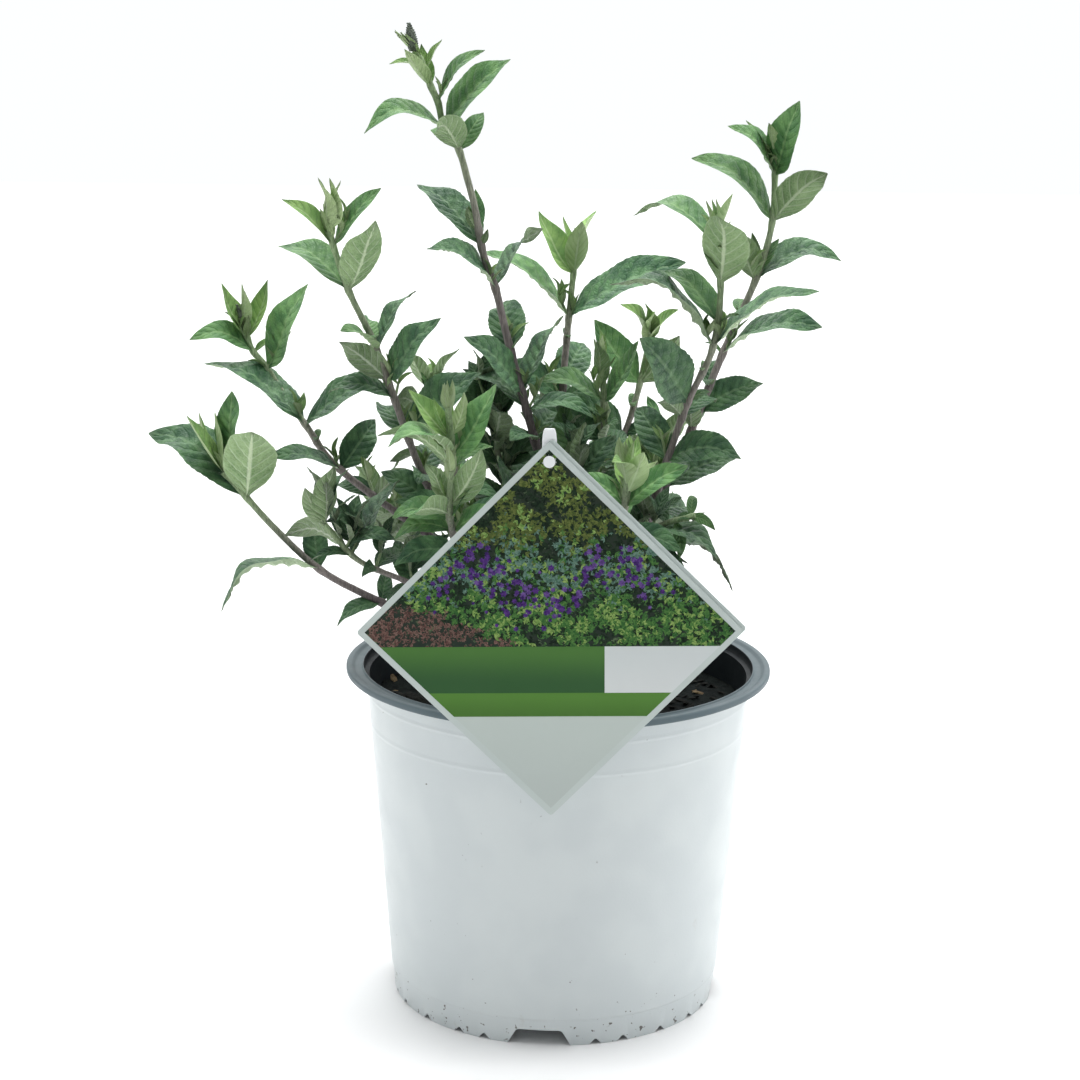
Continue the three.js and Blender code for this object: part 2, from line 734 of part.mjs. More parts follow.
// The point of a rising stem at a given height.
function stemAt(curve, height) {
  let [low, high] = [0, 1];
  for (let i = 0; i < 24; i++) {
    const middle = (low + high) / 2;
    if (curve.getPointAt(middle).z < height) low = middle;
    else high = middle;
  }
  return curve.getPointAt((low + high) / 2);
}

// The leaf pairs of a shoot that grows by rule: each node turns a quarter from the last.
function ruledPairs({ stem, nodes, firstHeading, leaf, tilt }) {
  const [foot, tip] = [stem[0][2], stem.at(-1)[2]];
  return Array.from({ length: nodes }, (_, i) => {
    const up = (i + RULED.firstNode) / nodes;
    const height = lerp(foot, tip, up);
    const rise = lerp(RULED.lowRise, RULED.highRise, up * up);
    const length = lerp(leaf[1], leaf[0], up * up);
    const other = [rise + RULED.otherRise, length * RULED.otherLength, tilt];
    return [height, firstHeading + 90 * i, rise, length, tilt, ...other];
  });
}

// A level leaf arches up and droops at its tip, and a steep one bows out from the stem.
function archAt(rise) {
  const [least, most] = LEAF.archRange;
  return LEAF.arch * THREE.MathUtils.clamp((LEAF.archRise - rise) / LEAF.archFade, least, most);
}

// Every leaf of a shoot, worked out from its pairs with a little seeded variety.
function leavesOf(shoot, curve, random) {
  const leaves = [];
  for (const row of shoot.pairs ?? ruledPairs(shoot)) {
    const [height, heading, rise, length, tilt, otherRise, otherLength, otherTilt, extraTurn = 0] = row;
    const pair = [
      [heading, rise, length, tilt],
      [heading + 180 + extraTurn, otherRise, otherLength, otherTilt],
    ];
    for (const [turn, lift, size, lean] of pair) {
      const vary = (range) => range * (2 * random() - 1);
      const span = size * (1 + vary(LEAF.sizeJitter));
      const fullness = (span - LEAF.shortLength) / (LEAF.fullLength - LEAF.shortLength);
      const slim = lerp(LEAF.slimmest, LEAF.fullest, THREE.MathUtils.clamp(fullness, 0, 1));
      leaves.push({
        root: stemAt(curve, height),
        heading: rad(turn + vary(LEAF.turnJitter)),
        rise: rad(lift + vary(LEAF.riseJitter)),
        tilt: rad(lean + vary(LEAF.tiltJitter)),
        length: span,
        width: span * slim * (1 + vary(LEAF.widthJitter)),
        arch: archAt(lift) * (1 + vary(LEAF.archJitter)),
      });
    }
  }
  return leaves;
}

function boxesMeet(a, b) {
  return [0, 1, 2].every((i) => a.min[i] <= b.max[i] && b.min[i] <= a.max[i]);
}

// Whether a solid touches any of the others.
function touches(solid, others) {
  const box = solid.boundingBox();
  return others.some((other) => boxesMeet(box, other.box) && !solid.intersect(other.solid).isEmpty());
}

const boxed = (solid) => ({ solid, box: solid.boundingBox() });

// A leaf that keeps clear of its neighbours, turned a little aside if it has to be, or nothing.
function clearLeaf(leaf, neighbours) {
  for (const aside of LEAF.tries) {
    const placed = { ...leaf, heading: leaf.heading + rad(aside) };
    if (!touches(leafSolid(placed, STEM.leafGap), neighbours)) return leafSolid(placed);
  }
  return null;
}

// ---------------------------------------------------------------- the whole plant

const plant = new THREE.Group();
plant.name = "butterfly_bush";

function addPiece(name, geometry, finish) {
  const material = new THREE.MeshStandardMaterial({ ...finish, metalness: 0 });
  const mesh = new THREE.Mesh(geometry, material);
  mesh.name = name;
  plant.add(mesh);
}

const pot = buildPot();
const mix = buildMix().subtract(buildHolder(GAP));
const holder = buildHolder(0);
const tagFront = diamondPly(TAG.front, [0, 0]);
const tagBack = diamondPly(backPlyFront, TAG.plyShift);
const crown = buildCrown(0);
addPiece("pot", toGeometry(pot), FINISH.pot);
addPiece("potting_mix", toGeometry(mix), FINISH.mix);
addPiece("tag_front", tagFront, FINISH.tag);
addPiece("tag_back", tagBack, FINISH.tag);
addPiece("tag_holder", toGeometry(holder), FINISH.holder);
addPiece("crown_stem", toGeometry(crown), FINISH.bark);

// Boughs are cut clear of the crown and of the boughs before them.
const crownSpace = buildCrown(GAP);
const boughs = {};
for (const [name, places] of Object.entries(BOUGHS)) {
  const { solid } = limb(places, BOUGH.baseRadius, BOUGH.tipRadius, BOUGH);
  let cut = solid.subtract(crownSpace);
  for (const other of Object.values(boughs)) cut = cut.subtract(other.space);
  const space = limb(places, BOUGH.baseRadius, BOUGH.tipRadius, BOUGH, GAP).solid;
  boughs[name] = { solid: largestBody(cut), space };
  addPiece(name, toGeometry(boughs[name].solid), FINISH.bark);
}

// Shoot stems are cut clear of every bough and of the stems before them.
const stems = {};
for (const [name, shoot] of Object.entries(SHOOTS)) {
  const { curve, solid } = limb(shoot.stem, shoot.radius, STEM.tipRadius, STEM);
  const space = limb(shoot.stem, shoot.radius, STEM.tipRadius, STEM, GAP).solid;
  let cut = solid.subtract(crownSpace);
  for (const other of [...Object.values(boughs), ...Object.values(stems)]) {
    cut = cut.subtract(other.space);
  }
  if (shoot.bud) cut = cut.add(limb(shoot.bud, BUD.radius, BUD.tipRadius, BUD).solid);
  stems[name] = { curve, solid: largestBody(cut), space };
}

// Leaves are fused to their stem where they keep clear of every other piece.
const fixedPieces = [pot, mix, holder, crown, toSolid(tagFront), toSolid(tagBack)].map(boxed);
const boughPieces = Object.values(boughs).map(({ solid }) => boxed(solid));
const shootPieces = new Map(Object.entries(stems).map(([name, { solid }]) => [name, boxed(solid)]));
const random = seededNumbers(SEED);
for (const [name, shoot] of Object.entries(SHOOTS)) {
  const { curve, solid } = stems[name];
  const others = [...shootPieces].filter(([other]) => other !== name).map(([, piece]) => piece);
  const neighbours = [...fixedPieces, ...boughPieces, ...others];
  const leaves = leavesOf(shoot, curve, random).map((leaf) => clearLeaf(leaf, neighbours));
  const grown = leaves.filter(Boolean).reduce((whole, leaf) => whole.add(leaf), solid);
  const mass = largestBody(grown);
  shootPieces.set(name, boxed(mass));
  addPiece(name, toGeometry(mass), FINISH.foliage);
}

export default plant;
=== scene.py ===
import logging
import math
from collections.abc import Callable
from dataclasses import dataclass, field
from enum import Enum

import bmesh
import bpy
import numpy as np
from mathutils import Matrix, Vector, noise
from mathutils.bvhtree import BVHTree


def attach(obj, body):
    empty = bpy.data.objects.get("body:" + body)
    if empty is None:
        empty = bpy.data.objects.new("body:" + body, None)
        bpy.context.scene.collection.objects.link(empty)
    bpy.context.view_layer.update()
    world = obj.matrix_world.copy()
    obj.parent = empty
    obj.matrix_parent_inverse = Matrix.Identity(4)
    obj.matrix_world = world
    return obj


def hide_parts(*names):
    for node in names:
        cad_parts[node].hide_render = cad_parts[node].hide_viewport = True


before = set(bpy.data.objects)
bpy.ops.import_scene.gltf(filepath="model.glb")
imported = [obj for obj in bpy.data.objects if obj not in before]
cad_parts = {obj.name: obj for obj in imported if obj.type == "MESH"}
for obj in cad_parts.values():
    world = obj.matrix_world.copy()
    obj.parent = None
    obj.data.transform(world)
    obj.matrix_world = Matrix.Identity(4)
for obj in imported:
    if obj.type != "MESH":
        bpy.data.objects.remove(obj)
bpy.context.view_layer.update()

log = logging.getLogger("butterfly_bush")

Place = tuple[float, float, float]
Colour = tuple[float, float, float]
BMesh = bmesh.types.BMesh
Rand = np.random.Generator
Socket = bpy.types.NodeSocket

MM = 0.001
UP = np.array([0.0, 0.0, 1.0])
SEED = 20241

# the side veins of a full leaf: how many there are, how far they slant and how they bow
VEINS, VEIN_SLANT, VEIN_BOW = 8, 0.2, 1.25


# ------------------------------------------------------------------------------------ the plant's sizes


@dataclass(frozen=True)
class Shoot:
    """One leafy shoot, in millimetres and degrees.

    A row of pairs is one node of the stem with two opposite leaves: the height of the node, the
    heading of the first leaf, then the rise, length and tilt of the first leaf and of the second,
    and the second leaf's extra turn. A shoot with nodes in place of pairs grows them by rule.
    """

    name: str
    radius: float
    stem: tuple[Place, ...]
    pairs: tuple[tuple[float, ...], ...] = ()
    bud: tuple[Place, ...] = ()
    nodes: int = 0
    first_heading: float = 0.0
    leaf: tuple[float, float] = (0.0, 0.0)
    tilt: float = 0.0


BOUGHS: dict[str, tuple[Place, ...]] = {
    "bough_centre": ((-2, 1, 160), (-5, 0, 200), (-8, 0, 252)),
    "bough_left": ((-2, 1, 163), (-22, -4, 186), (-46, -6, 212)),
    "bough_low_left": ((-2, 1, 151), (-32, -14, 166), (-62, -22, 185)),
    "bough_front_left": ((-2, 1, 158), (-22, -28, 182), (-36, -42, 208)),
    "bough_front_right": ((-2, 1, 158), (10, -26, 184), (17, -46, 212)),
    "bough_right": ((-2, 1, 155), (22, -3, 186), (38, 1, 223)),
    "bough_back_right": ((-2, 1, 161), (11, 28, 186), (20, 56, 218)),
    "bough_back": ((-2, 1, 166), (-2, 22, 205), (0, 38, 252)),
    "bough_back_left": ((-2, 1, 154), (-20, 30, 176), (-34, 54, 200)),
}

SHOOTS: tuple[Shoot, ...] = (
    Shoot(
        "shoot_tall", 2, (
            (-8, 0, 252), (-26, 1, 317), (-31, 2, 337), (-37, 2, 354), (-41, 2, 375), (-44, 3, 386),
            (-49, 3, 402), (-55, 4, 410), (-58, 4, 422), (-61, 5, 428), (-66, 5, 441), (-69, 5, 444),
        ),
        bud=((-69, 5, 444), (-70, 5, 450), (-71, 5, 456)),
        pairs=(
            (436, -158, 5, 17, 18, 60, 16, 38, -35), (428, -130, 46, 26, -8, 71, 20, 13, 84),
            (422, -20, 47, 34, 31, 68, 8, 20, -2), (410, -162, -4, 39, 15, 44, 46, 46, -38),
            (400, -103, 24, 34, -17, 44, 24, 52, -30), (364, 109, 73, 20, -25, 64, 12, -61, -94),
            (357, 139, 35, 46, 12, 59, 10, -36, -15), (338, -148, 29, 41, 31, 45, 36, -15, 6),
            (309, 93, 33, 36, 18, 44, 12, 30, 44), (290, -140, 40, 46, 54, 57, 42, -3, -2),
            (281, 155, 11, 37, 5, -2, 32, 32, 8), (267, 65, 12, 30, 20, 8, 28, 20),
        ),
    ),
    Shoot(
        "shoot_left_front", 1.8, (
            (-43, -6, 210), (-63, -24, 255), (-85, -33, 318), (-96, -36, 342), (-104, -40, 368),
        ),
        pairs=(
            (368, -107, 64, 28, 35, 65, 27, -68, -157), (367, 55, 72, 23, -50, 82, 17, 55, 1),
            (361, -160, 44, 31, 36, 49, 34, 30, -28), (341, 155, 27, 41, 14, 57, 41, 0, -26),
            (318, 105, 21, 22, -9, 15, 12, 0, -5), (314, 32, 49, 33, -7, 26, 30, 18, 28),
            (300, -24, 50, 42, 55, 39, 30, -61, 49), (291, 64, -18, 30, -48, 6, 30, 30, -46),
            (273, -14, 43, 47, 50, 22, 32, 23, -39), (254, 83, 20, 30, 30, 5, 26, 30, 4),
            (240, -19, 12, 31, 40, 26, 31, 45, -1),
        ),
    ),
    Shoot(
        "shoot_left", 1.8, (
            (-46, -6, 212), (-106, 2, 255), (-119, 12, 270), (-130, 20, 283), (-141, 27, 298),
            (-146, 29, 303), (-150, 30, 315),
        ),
        pairs=(
            (315, -102, 85, 21, 65, 53, 22, -63, -160), (309, -164, 68, 30, 40, 72, 29, 58, -21),
            (302, -162, 11, 32, 44, 33, 13, 30, -9), (295, -18, 61, 47, 53, 27, 11, 0, 46),
            (271, 165, 29, 55, 4, 33, 48, 38, -8), (264, 82, 22, 10, 0, 12, 9, 0, 13),
            (252, -159, 13, 35, 20, 43, 33, 40, 29), (240, 146, 4, 24, 41, 36, 24, -77, 12),
            (232, 131, -43, 28, -28, 30, 30, 40, 39),
        ),
    ),
    Shoot(
        "shoot_low_left", 1.8, (
            (-62, -22, 185), (-84, -24, 196), (-109, -26, 210), (-130, -28, 230), (-153, -30, 257),
        ),
        pairs=(
            (257, -165, 60, 30, 23, 83, 29, 19, -179), (256, 147, 59, 31, -33, 87, 38, 51, 24),
            (245, 154, 24, 57, 26, 49, 49, 2, -51), (211, -152, -18, 52, -3, 62, 27, 16, 80),
            (195, -153, -23, 24, 20, 28, 20, 20, 62),
        ),
    ),
    Shoot(
        "twig_low_left", 1.4, (
            (-36, -42, 208), (-56, -46, 206), (-72, -50, 213), (-91, -55, 223), (-105, -60, 240),
        ),
        pairs=(
            (240, -122, 54, 24, -44, 67, 31, 27, -123), (228, 153, 3, 34, -47, 16, 24, 30, 9),
            (225, 46, 47, 42, -15, -5, 20, 30, -25), (218, -112, -2, 16, 51, 7, 24, 6, -17),
            (210, -177, -38, 15, 36, 42, 26, 31, 113),
        ),
    ),
    Shoot(
        "shoot_front_high", 1.6, ((-36, -42, 208), (-46, -50, 245), (-48, -62, 270), (-50, -73, 296)),
        pairs=(
            (282, -4, 73, 20, -88, 66, 19, 49, 16), (280, -168, 52, 29, 52, 85, 24, 46, -164),
            (272, -17, 62, 39, 71, 11, 38, 4, 61), (266, 164, 18, 36, -55, 30, 22, 30, 2),
            (252, 85, 22, 28, 20, 10, 14, 0), (238, 172, 15, 32, 45, 20, 28, 45),
            (226, 95, 10, 30, 30, 0, 18, 20),
        ),
    ),
    Shoot(
        "shoot_front_low", 1.5, ((-35, -41, 206), (-45, -62, 228), (-49, -77, 250), (-48, -84, 270)),
        pairs=(
            (256, 102, 69, 18, -39, 73, 15, 46, -99), (253, -144, 58, 23, -34, 59, 31, -66, -68),
            (249, -119, 11, 31, -44, 35, 15, 30, -31), (247, 155, -9, 30, 40, 52, 22, 40),
            (240, 175, -14, 26, 45, 10, 26, 45), (228, -172, -8, 30, 45, 5, 24, 30),
        ),
    ),
    Shoot(
        "shoot_back", 1.8, ((0, 38, 252), (1, 42, 290), (3, 48, 316), (6, 57, 348)),
        pairs=(
            (348, 65, 38, 29, -40, 69, 18, 44, -49), (338, -171, 62, 36, 52, 62, 29, -6, -85),
            (318, -16, 29, 65, 34, 34, 54, 22, 28), (308, 95, 22, 10, 0, 15, 9, 0),
            (287, 73, 22, 36, 34, 10, 12, 20, 7), (279, -5, 22, 20, 45, 24, 36, 45),
            (265, 92, 12, 38, 20, -5, 22, 20),
        ),
    ),
    Shoot(
        "shoot_centre", 1.6, (
            (-2, 24, 208), (10, 22, 232), (19, 20, 258), (20, 20, 280), (18, 20, 304),
        ),
        pairs=(
            (291, -108, 66, 24, 14, 70, 9, 30, -17), (282, -33, 58, 35, 50, 17, 36, 33, 50),
            (272, 100, 38, 14, 20, 38, 15, 20), (263, 148, 25, 30, 60, 32, 26, 40, -40),
            (250, 58, 20, 32, 40, 5, 28, 40), (238, 150, 8, 32, 45, 10, 30, 45),
        ),
    ),
    Shoot(
        "shoot_back_right", 1.7, ((20, 56, 218), (28, 66, 248), (36, 72, 271), (43, 80, 302)),
        pairs=(
            (302, -127, 39, 31, 44, 53, 27, 39, -155), (302, -52, 40, 27, 56, 41, 26, 54, 144),
            (282, -164, 54, 39, 61, 53, 32, -83, -42), (270, 92, 28, 12, 20, 12, 12, 20),
            (256, 4, 20, 18, 45, 22, 36, 50), (241, 95, 10, 38, 20, 0, 24, 20),
            (229, 8, 8, 36, 40, 10, 32, 40),
        ),
    ),
    Shoot(
        "shoot_right_front", 1.8, (
            (34, -1, 212), (42, -15, 240), (57, -21, 290), (67, -24, 314), (70, -27, 340),
            (67, -30, 366),
        ),
        pairs=(
            (366, -122, 63, 20, 21, 64, 20, 61, -157), (366, -73, 47, 28, 44, 82, 18, 67, 106),
            (363, 154, 14, 42, 6, 60, 12, 20, 19), (345, -99, 47, 45, 13, 45, 12, 0, 2),
            (327, 157, 38, 37, 23, 25, 12, 20, -10), (316, -163, 29, 56, 16, 30, 56, 7, -33),
            (304, 80, 20, 10, 20, 15, 8, 0), (290, -127, 42, 52, 99, 20, 12, 40, -22),
            (283, 57, 4, 28, 21, 22, 24, -36, 1), (262, 116, 37, 36, 43, 6, 35, 44, 40),
            (248, -125, 0, 24, 20, 12, 30, 40),
        ),
    ),
    Shoot(
        "shoot_right", 2, (
            (38, 1, 223), (58, 6, 266), (76, 12, 311), (90, 16, 344), (96, 19, 367), (97, 23, 398),
        ),
        pairs=(
            (396, -165, 49, 24, 20, 55, 22, 28, -123), (389, -156, 41, 35, 38, 68, 38, 88, -78),
            (368, -174, 35, 50, 37, 39, 39, -50, -47), (345, -144, 73, 19, 10, 53, 19, 19, -9),
            (341, 16, 13, 44, 12, 57, 30, -25, 23), (325, 92, 20, 18, 0, 10, 14, 0),
            (307, -21, 17, 49, 17, 30, 10, 20, 8), (292, 85, 20, 22, 0, 10, 16, 0),
            (280, 19, 21, 33, 54, 24, 10, 40, 4), (272, -95, 38, 24, 20, 20, 28, 0),
            (245, -10, 18, 39, 32, 14, 30, 40, -5), (233, 52, -15, 38, 43, 0, 28, 40, -36),
            (234, 88, 8, 30, 20, -8, 24, 20),
        ),
    ),
    Shoot(
        "shoot_front_right", 1.6, ((17, -46, 212), (25, -56, 236), (28, -66, 252), (29, -72, 272)),
        pairs=(
            (264, 62, 61, 21, 5, 78, 20, -84, -62), (260, 19, 37, 18, -103, 32, 28, 30, 53),
            (257, -67, 52, 30, -39, 52, 30, 0, -26), (251, -20, 36, 36, 50, 20, 26, 40, 1),
            (240, 92, 22, 32, 20, 0, 18, 0), (229, 172, 5, 30, 40, 0, 32, 40),
        ),
    ),
    Shoot(
        "twig_low_right", 1.4, ((15, -41, 206), (28, -35, 222), (42, -38, 235), (60, -50, 244)),
        pairs=(
            (243, 84, 29, 14, 3, -21, 13, 66, 76), (240, -37, 5, 12, 40, -80, 18, 72, -160),
            (234, -36, -13, 37, 8, 10, 26, 40, 9), (223, 5, -20, 54, 0, 5, 18, 30, 33),
            (221, -30, -14, 35, 25, 10, 26, 40),
        ),
    ),
    Shoot(
        "shoot_inner_left", 1.6, ((-5, 0, 204), (-22, 12, 232), (-36, 20, 284)),
        nodes=8, first_heading=175, leaf=(30, 38), tilt=45,
    ),
    Shoot(
        "shoot_inner_right", 1.5, ((-4, 0, 196), (4, -6, 220), (6, -14, 262)),
        nodes=6, first_heading=20, leaf=(28, 34), tilt=45,
    ),
    Shoot(
        "shoot_rear_left", 1.7, ((-34, 54, 200), (-46, 76, 230), (-66, 98, 275)),
        nodes=7, first_heading=15, leaf=(26, 42), tilt=-35,
    ),
    Shoot(
        "shoot_rear_low_left", 1.5, ((-28, 44, 189), (-69, 54, 204), (-88, 66, 220)),
        nodes=7, first_heading=60, leaf=(28, 42), tilt=-35,
    ),
    Shoot(
        "shoot_rear_right", 1.6, ((15, 41, 200), (36, 66, 216), (52, 94, 248)),
        nodes=6, first_heading=35, leaf=(26, 42), tilt=-35,
    ),
    Shoot(
        "shoot_rear_low_right", 1.5, ((9, 27, 186), (35, 42, 196), (58, 60, 208)),
        nodes=5, first_heading=100, leaf=(24, 36), tilt=-35,
    ),
    Shoot(
        "shoot_rear_centre", 1.6, ((-2, 24, 207), (-6, 54, 222), (-8, 92, 250)),
        nodes=6, first_heading=0, leaf=(26, 42), tilt=-35,
    ),
)


# ------------------------------------------------------------------------------------ small helpers


def seeded_numbers(seed: int) -> Callable[[], float]:
    """Make a generator of numbers from 0 to 1, the same one that the solids are grown with.

    Args:
        seed: the whole number that starts it.

    Returns:
        A function that gives the next number.
    """
    mask = 0xFFFFFFFF
    state = seed & mask

    def following() -> float:
        nonlocal state
        state = (state + 0x6D2B79F5) & mask
        t = state
        t = ((t ^ (t >> 15)) * (t | 1)) & mask
        t ^= (t + (((t ^ (t >> 7)) * (t | 61)) & mask)) & mask
        return ((t ^ (t >> 14)) & mask) / 4294967296

    return following


def unit(v: np.ndarray) -> np.ndarray:
    """Return vectors scaled to a length of one, along the last axis."""
    return v / np.maximum(np.linalg.norm(v, axis=-1, keepdims=True), 1e-12)


def turned(v: np.ndarray, axis: np.ndarray, angle: np.ndarray | float) -> np.ndarray:
    """Turn vectors about unit axes.

    Args:
        v: the vectors, along the last axis.
        axis: the unit axes.
        angle: the angles in radians.

    Returns:
        The turned vectors.
    """
    angle = np.asarray(angle)[..., None]
    along = (v * axis).sum(-1, keepdims=True)
    return v * np.cos(angle) + np.cross(axis, v) * np.sin(angle) + axis * along * (1 - np.cos(angle))


def eased(x: np.ndarray, low: float, high: float) -> np.ndarray:
    """Return 0 below low, 1 above high and a smooth step between them."""
    t = np.clip((x - low) / (high - low), 0, 1)
    return t * t * (3 - 2 * t)


class Spine:
    """A smooth curve through a few places, the same kind of curve that the solids are built on."""

    def __init__(self, places: tuple[Place, ...], samples: int = 60) -> None:
        """Sample the curve.

        Args:
            places: the places it passes through, in order.
            samples: how many points each stretch between two places has.
        """
        p = np.array(places, float)
        p = np.vstack([2 * p[0] - p[1], p, 2 * p[-1] - p[-2]])
        points = [p[1]]
        for i in range(1, len(p) - 2):
            points.extend(self._stretch(p[i - 1 : i + 3], samples))
        self.points = np.array(points)
        steps = np.linalg.norm(np.diff(self.points, axis=0), axis=1)
        self.reach = np.concatenate([[0.0], np.cumsum(steps)])

    @staticmethod
    def _stretch(p: np.ndarray, samples: int) -> np.ndarray:
        """Return the points of one stretch of a centripetal Catmull-Rom curve."""
        d = [max(np.sum((p[k + 1] - p[k]) ** 2) ** 0.25, 1e-4) for k in range(3)]
        start = ((p[1] - p[0]) / d[0] - (p[2] - p[0]) / (d[0] + d[1]) + (p[2] - p[1]) / d[1]) * d[1]
        end = ((p[2] - p[1]) / d[1] - (p[3] - p[1]) / (d[1] + d[2]) + (p[3] - p[2]) / d[2]) * d[1]
        t = (np.arange(1, samples + 1) / samples)[:, None]
        square = 3 * (p[2] - p[1]) - 2 * start - end
        return p[1] + start * t + square * t**2 + (2 * (p[1] - p[2]) + start + end) * t**3

    def evenly(self, step: float) -> np.ndarray:
        """Return points about one step apart along the whole curve."""
        count = max(4, round(self.reach[-1] / step))
        wanted = np.linspace(0, self.reach[-1], count + 1)
        return np.stack([np.interp(wanted, self.reach, self.points[:, k]) for k in range(3)], axis=1)

    def at_height(self, height: float) -> tuple[np.ndarray, float]:
        """Find the last point at a height.

        Args:
            height: the height in millimetres.

        Returns:
            The point, and how far along the curve it is as a share of the whole.
        """
        below = np.nonzero(self.points[:, 2] < height)[0]
        i = min(below[-1], len(self.points) - 2) if len(below) else 0
        a, b = self.points[i], self.points[i + 1]
        t = min(max((height - a[2]) / max(b[2] - a[2], 1e-6), 0.0), 1.0)
        along = self.reach[i] + t * (self.reach[i + 1] - self.reach[i])
        return a + (b - a) * t, along / self.reach[-1]


def tree_of(node: str) -> BVHTree:
    """Return the search tree of a CAD node's surface, in millimetres."""
    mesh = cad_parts[node].data
    points = [v.co / MM for v in mesh.vertices]
    return BVHTree.FromPolygons(points, [tuple(p.vertices) for p in mesh.polygons])


def new_verts(made: dict) -> list[bmesh.types.BMVert]:
    """Return the vertices among what a bmesh operator has made."""
    return [part for part in made["geom"] if isinstance(part, bmesh.types.BMVert)]


def slice_at(bm: BMesh, place: Vector, normal: Vector, clear: bool = False) -> None:
    """Divide a bmesh along a plane.

    Args:
        bm: the bmesh.
        place: a place on the plane.
        normal: the direction that the plane faces.
        clear: whether what lies in front of the plane is dropped.
    """
    parts = bm.verts[:] + bm.edges[:] + bm.faces[:]
    bmesh.ops.bisect_plane(bm, geom=parts, plane_co=place, plane_no=normal, clear_outer=clear)


def soften(bm: BMesh, geom: list, reach: float, segments: int, affect: str = "EDGES") -> None:
    """Round edges, or the corners of a flat face.

    Args:
        bm: the bmesh.
        geom: its edges or vertices that are rounded.
        reach: how far from the edge the rounding begins.
        segments: how many steps it has.
        affect: EDGES or VERTICES.
    """
    bmesh.ops.bevel(
        bm, geom=geom, offset=reach, offset_type="OFFSET", segments=segments,
        profile=0.5, affect=affect, material=-1,
    )


def rod(bm: BMesh, radius: float, depth: float, segments: int, matrix: Matrix) -> list[bmesh.types.BMVert]:
    """Add a closed round rod.

    Args:
        bm: the bmesh that takes it.
        radius: its radius.
        depth: its length.
        segments: how many sides it has.
        matrix: its place, with its length along the matrix's Z axis.

    Returns:
        Its vertices.
    """
    made = bmesh.ops.create_cone(
        bm, cap_ends=True, segments=segments, radius1=radius, radius2=radius, depth=depth, matrix=matrix
    )
    return made["verts"]


def mesh_of(name: str, bm: BMesh) -> bpy.types.Mesh:
    """Turn a bmesh into a new mesh of that name, and free it."""
    mesh = bpy.data.meshes.new(name)
    bm.to_mesh(mesh)
    bm.free()
    return mesh


# ------------------------------------------------------------------------------------ finishes


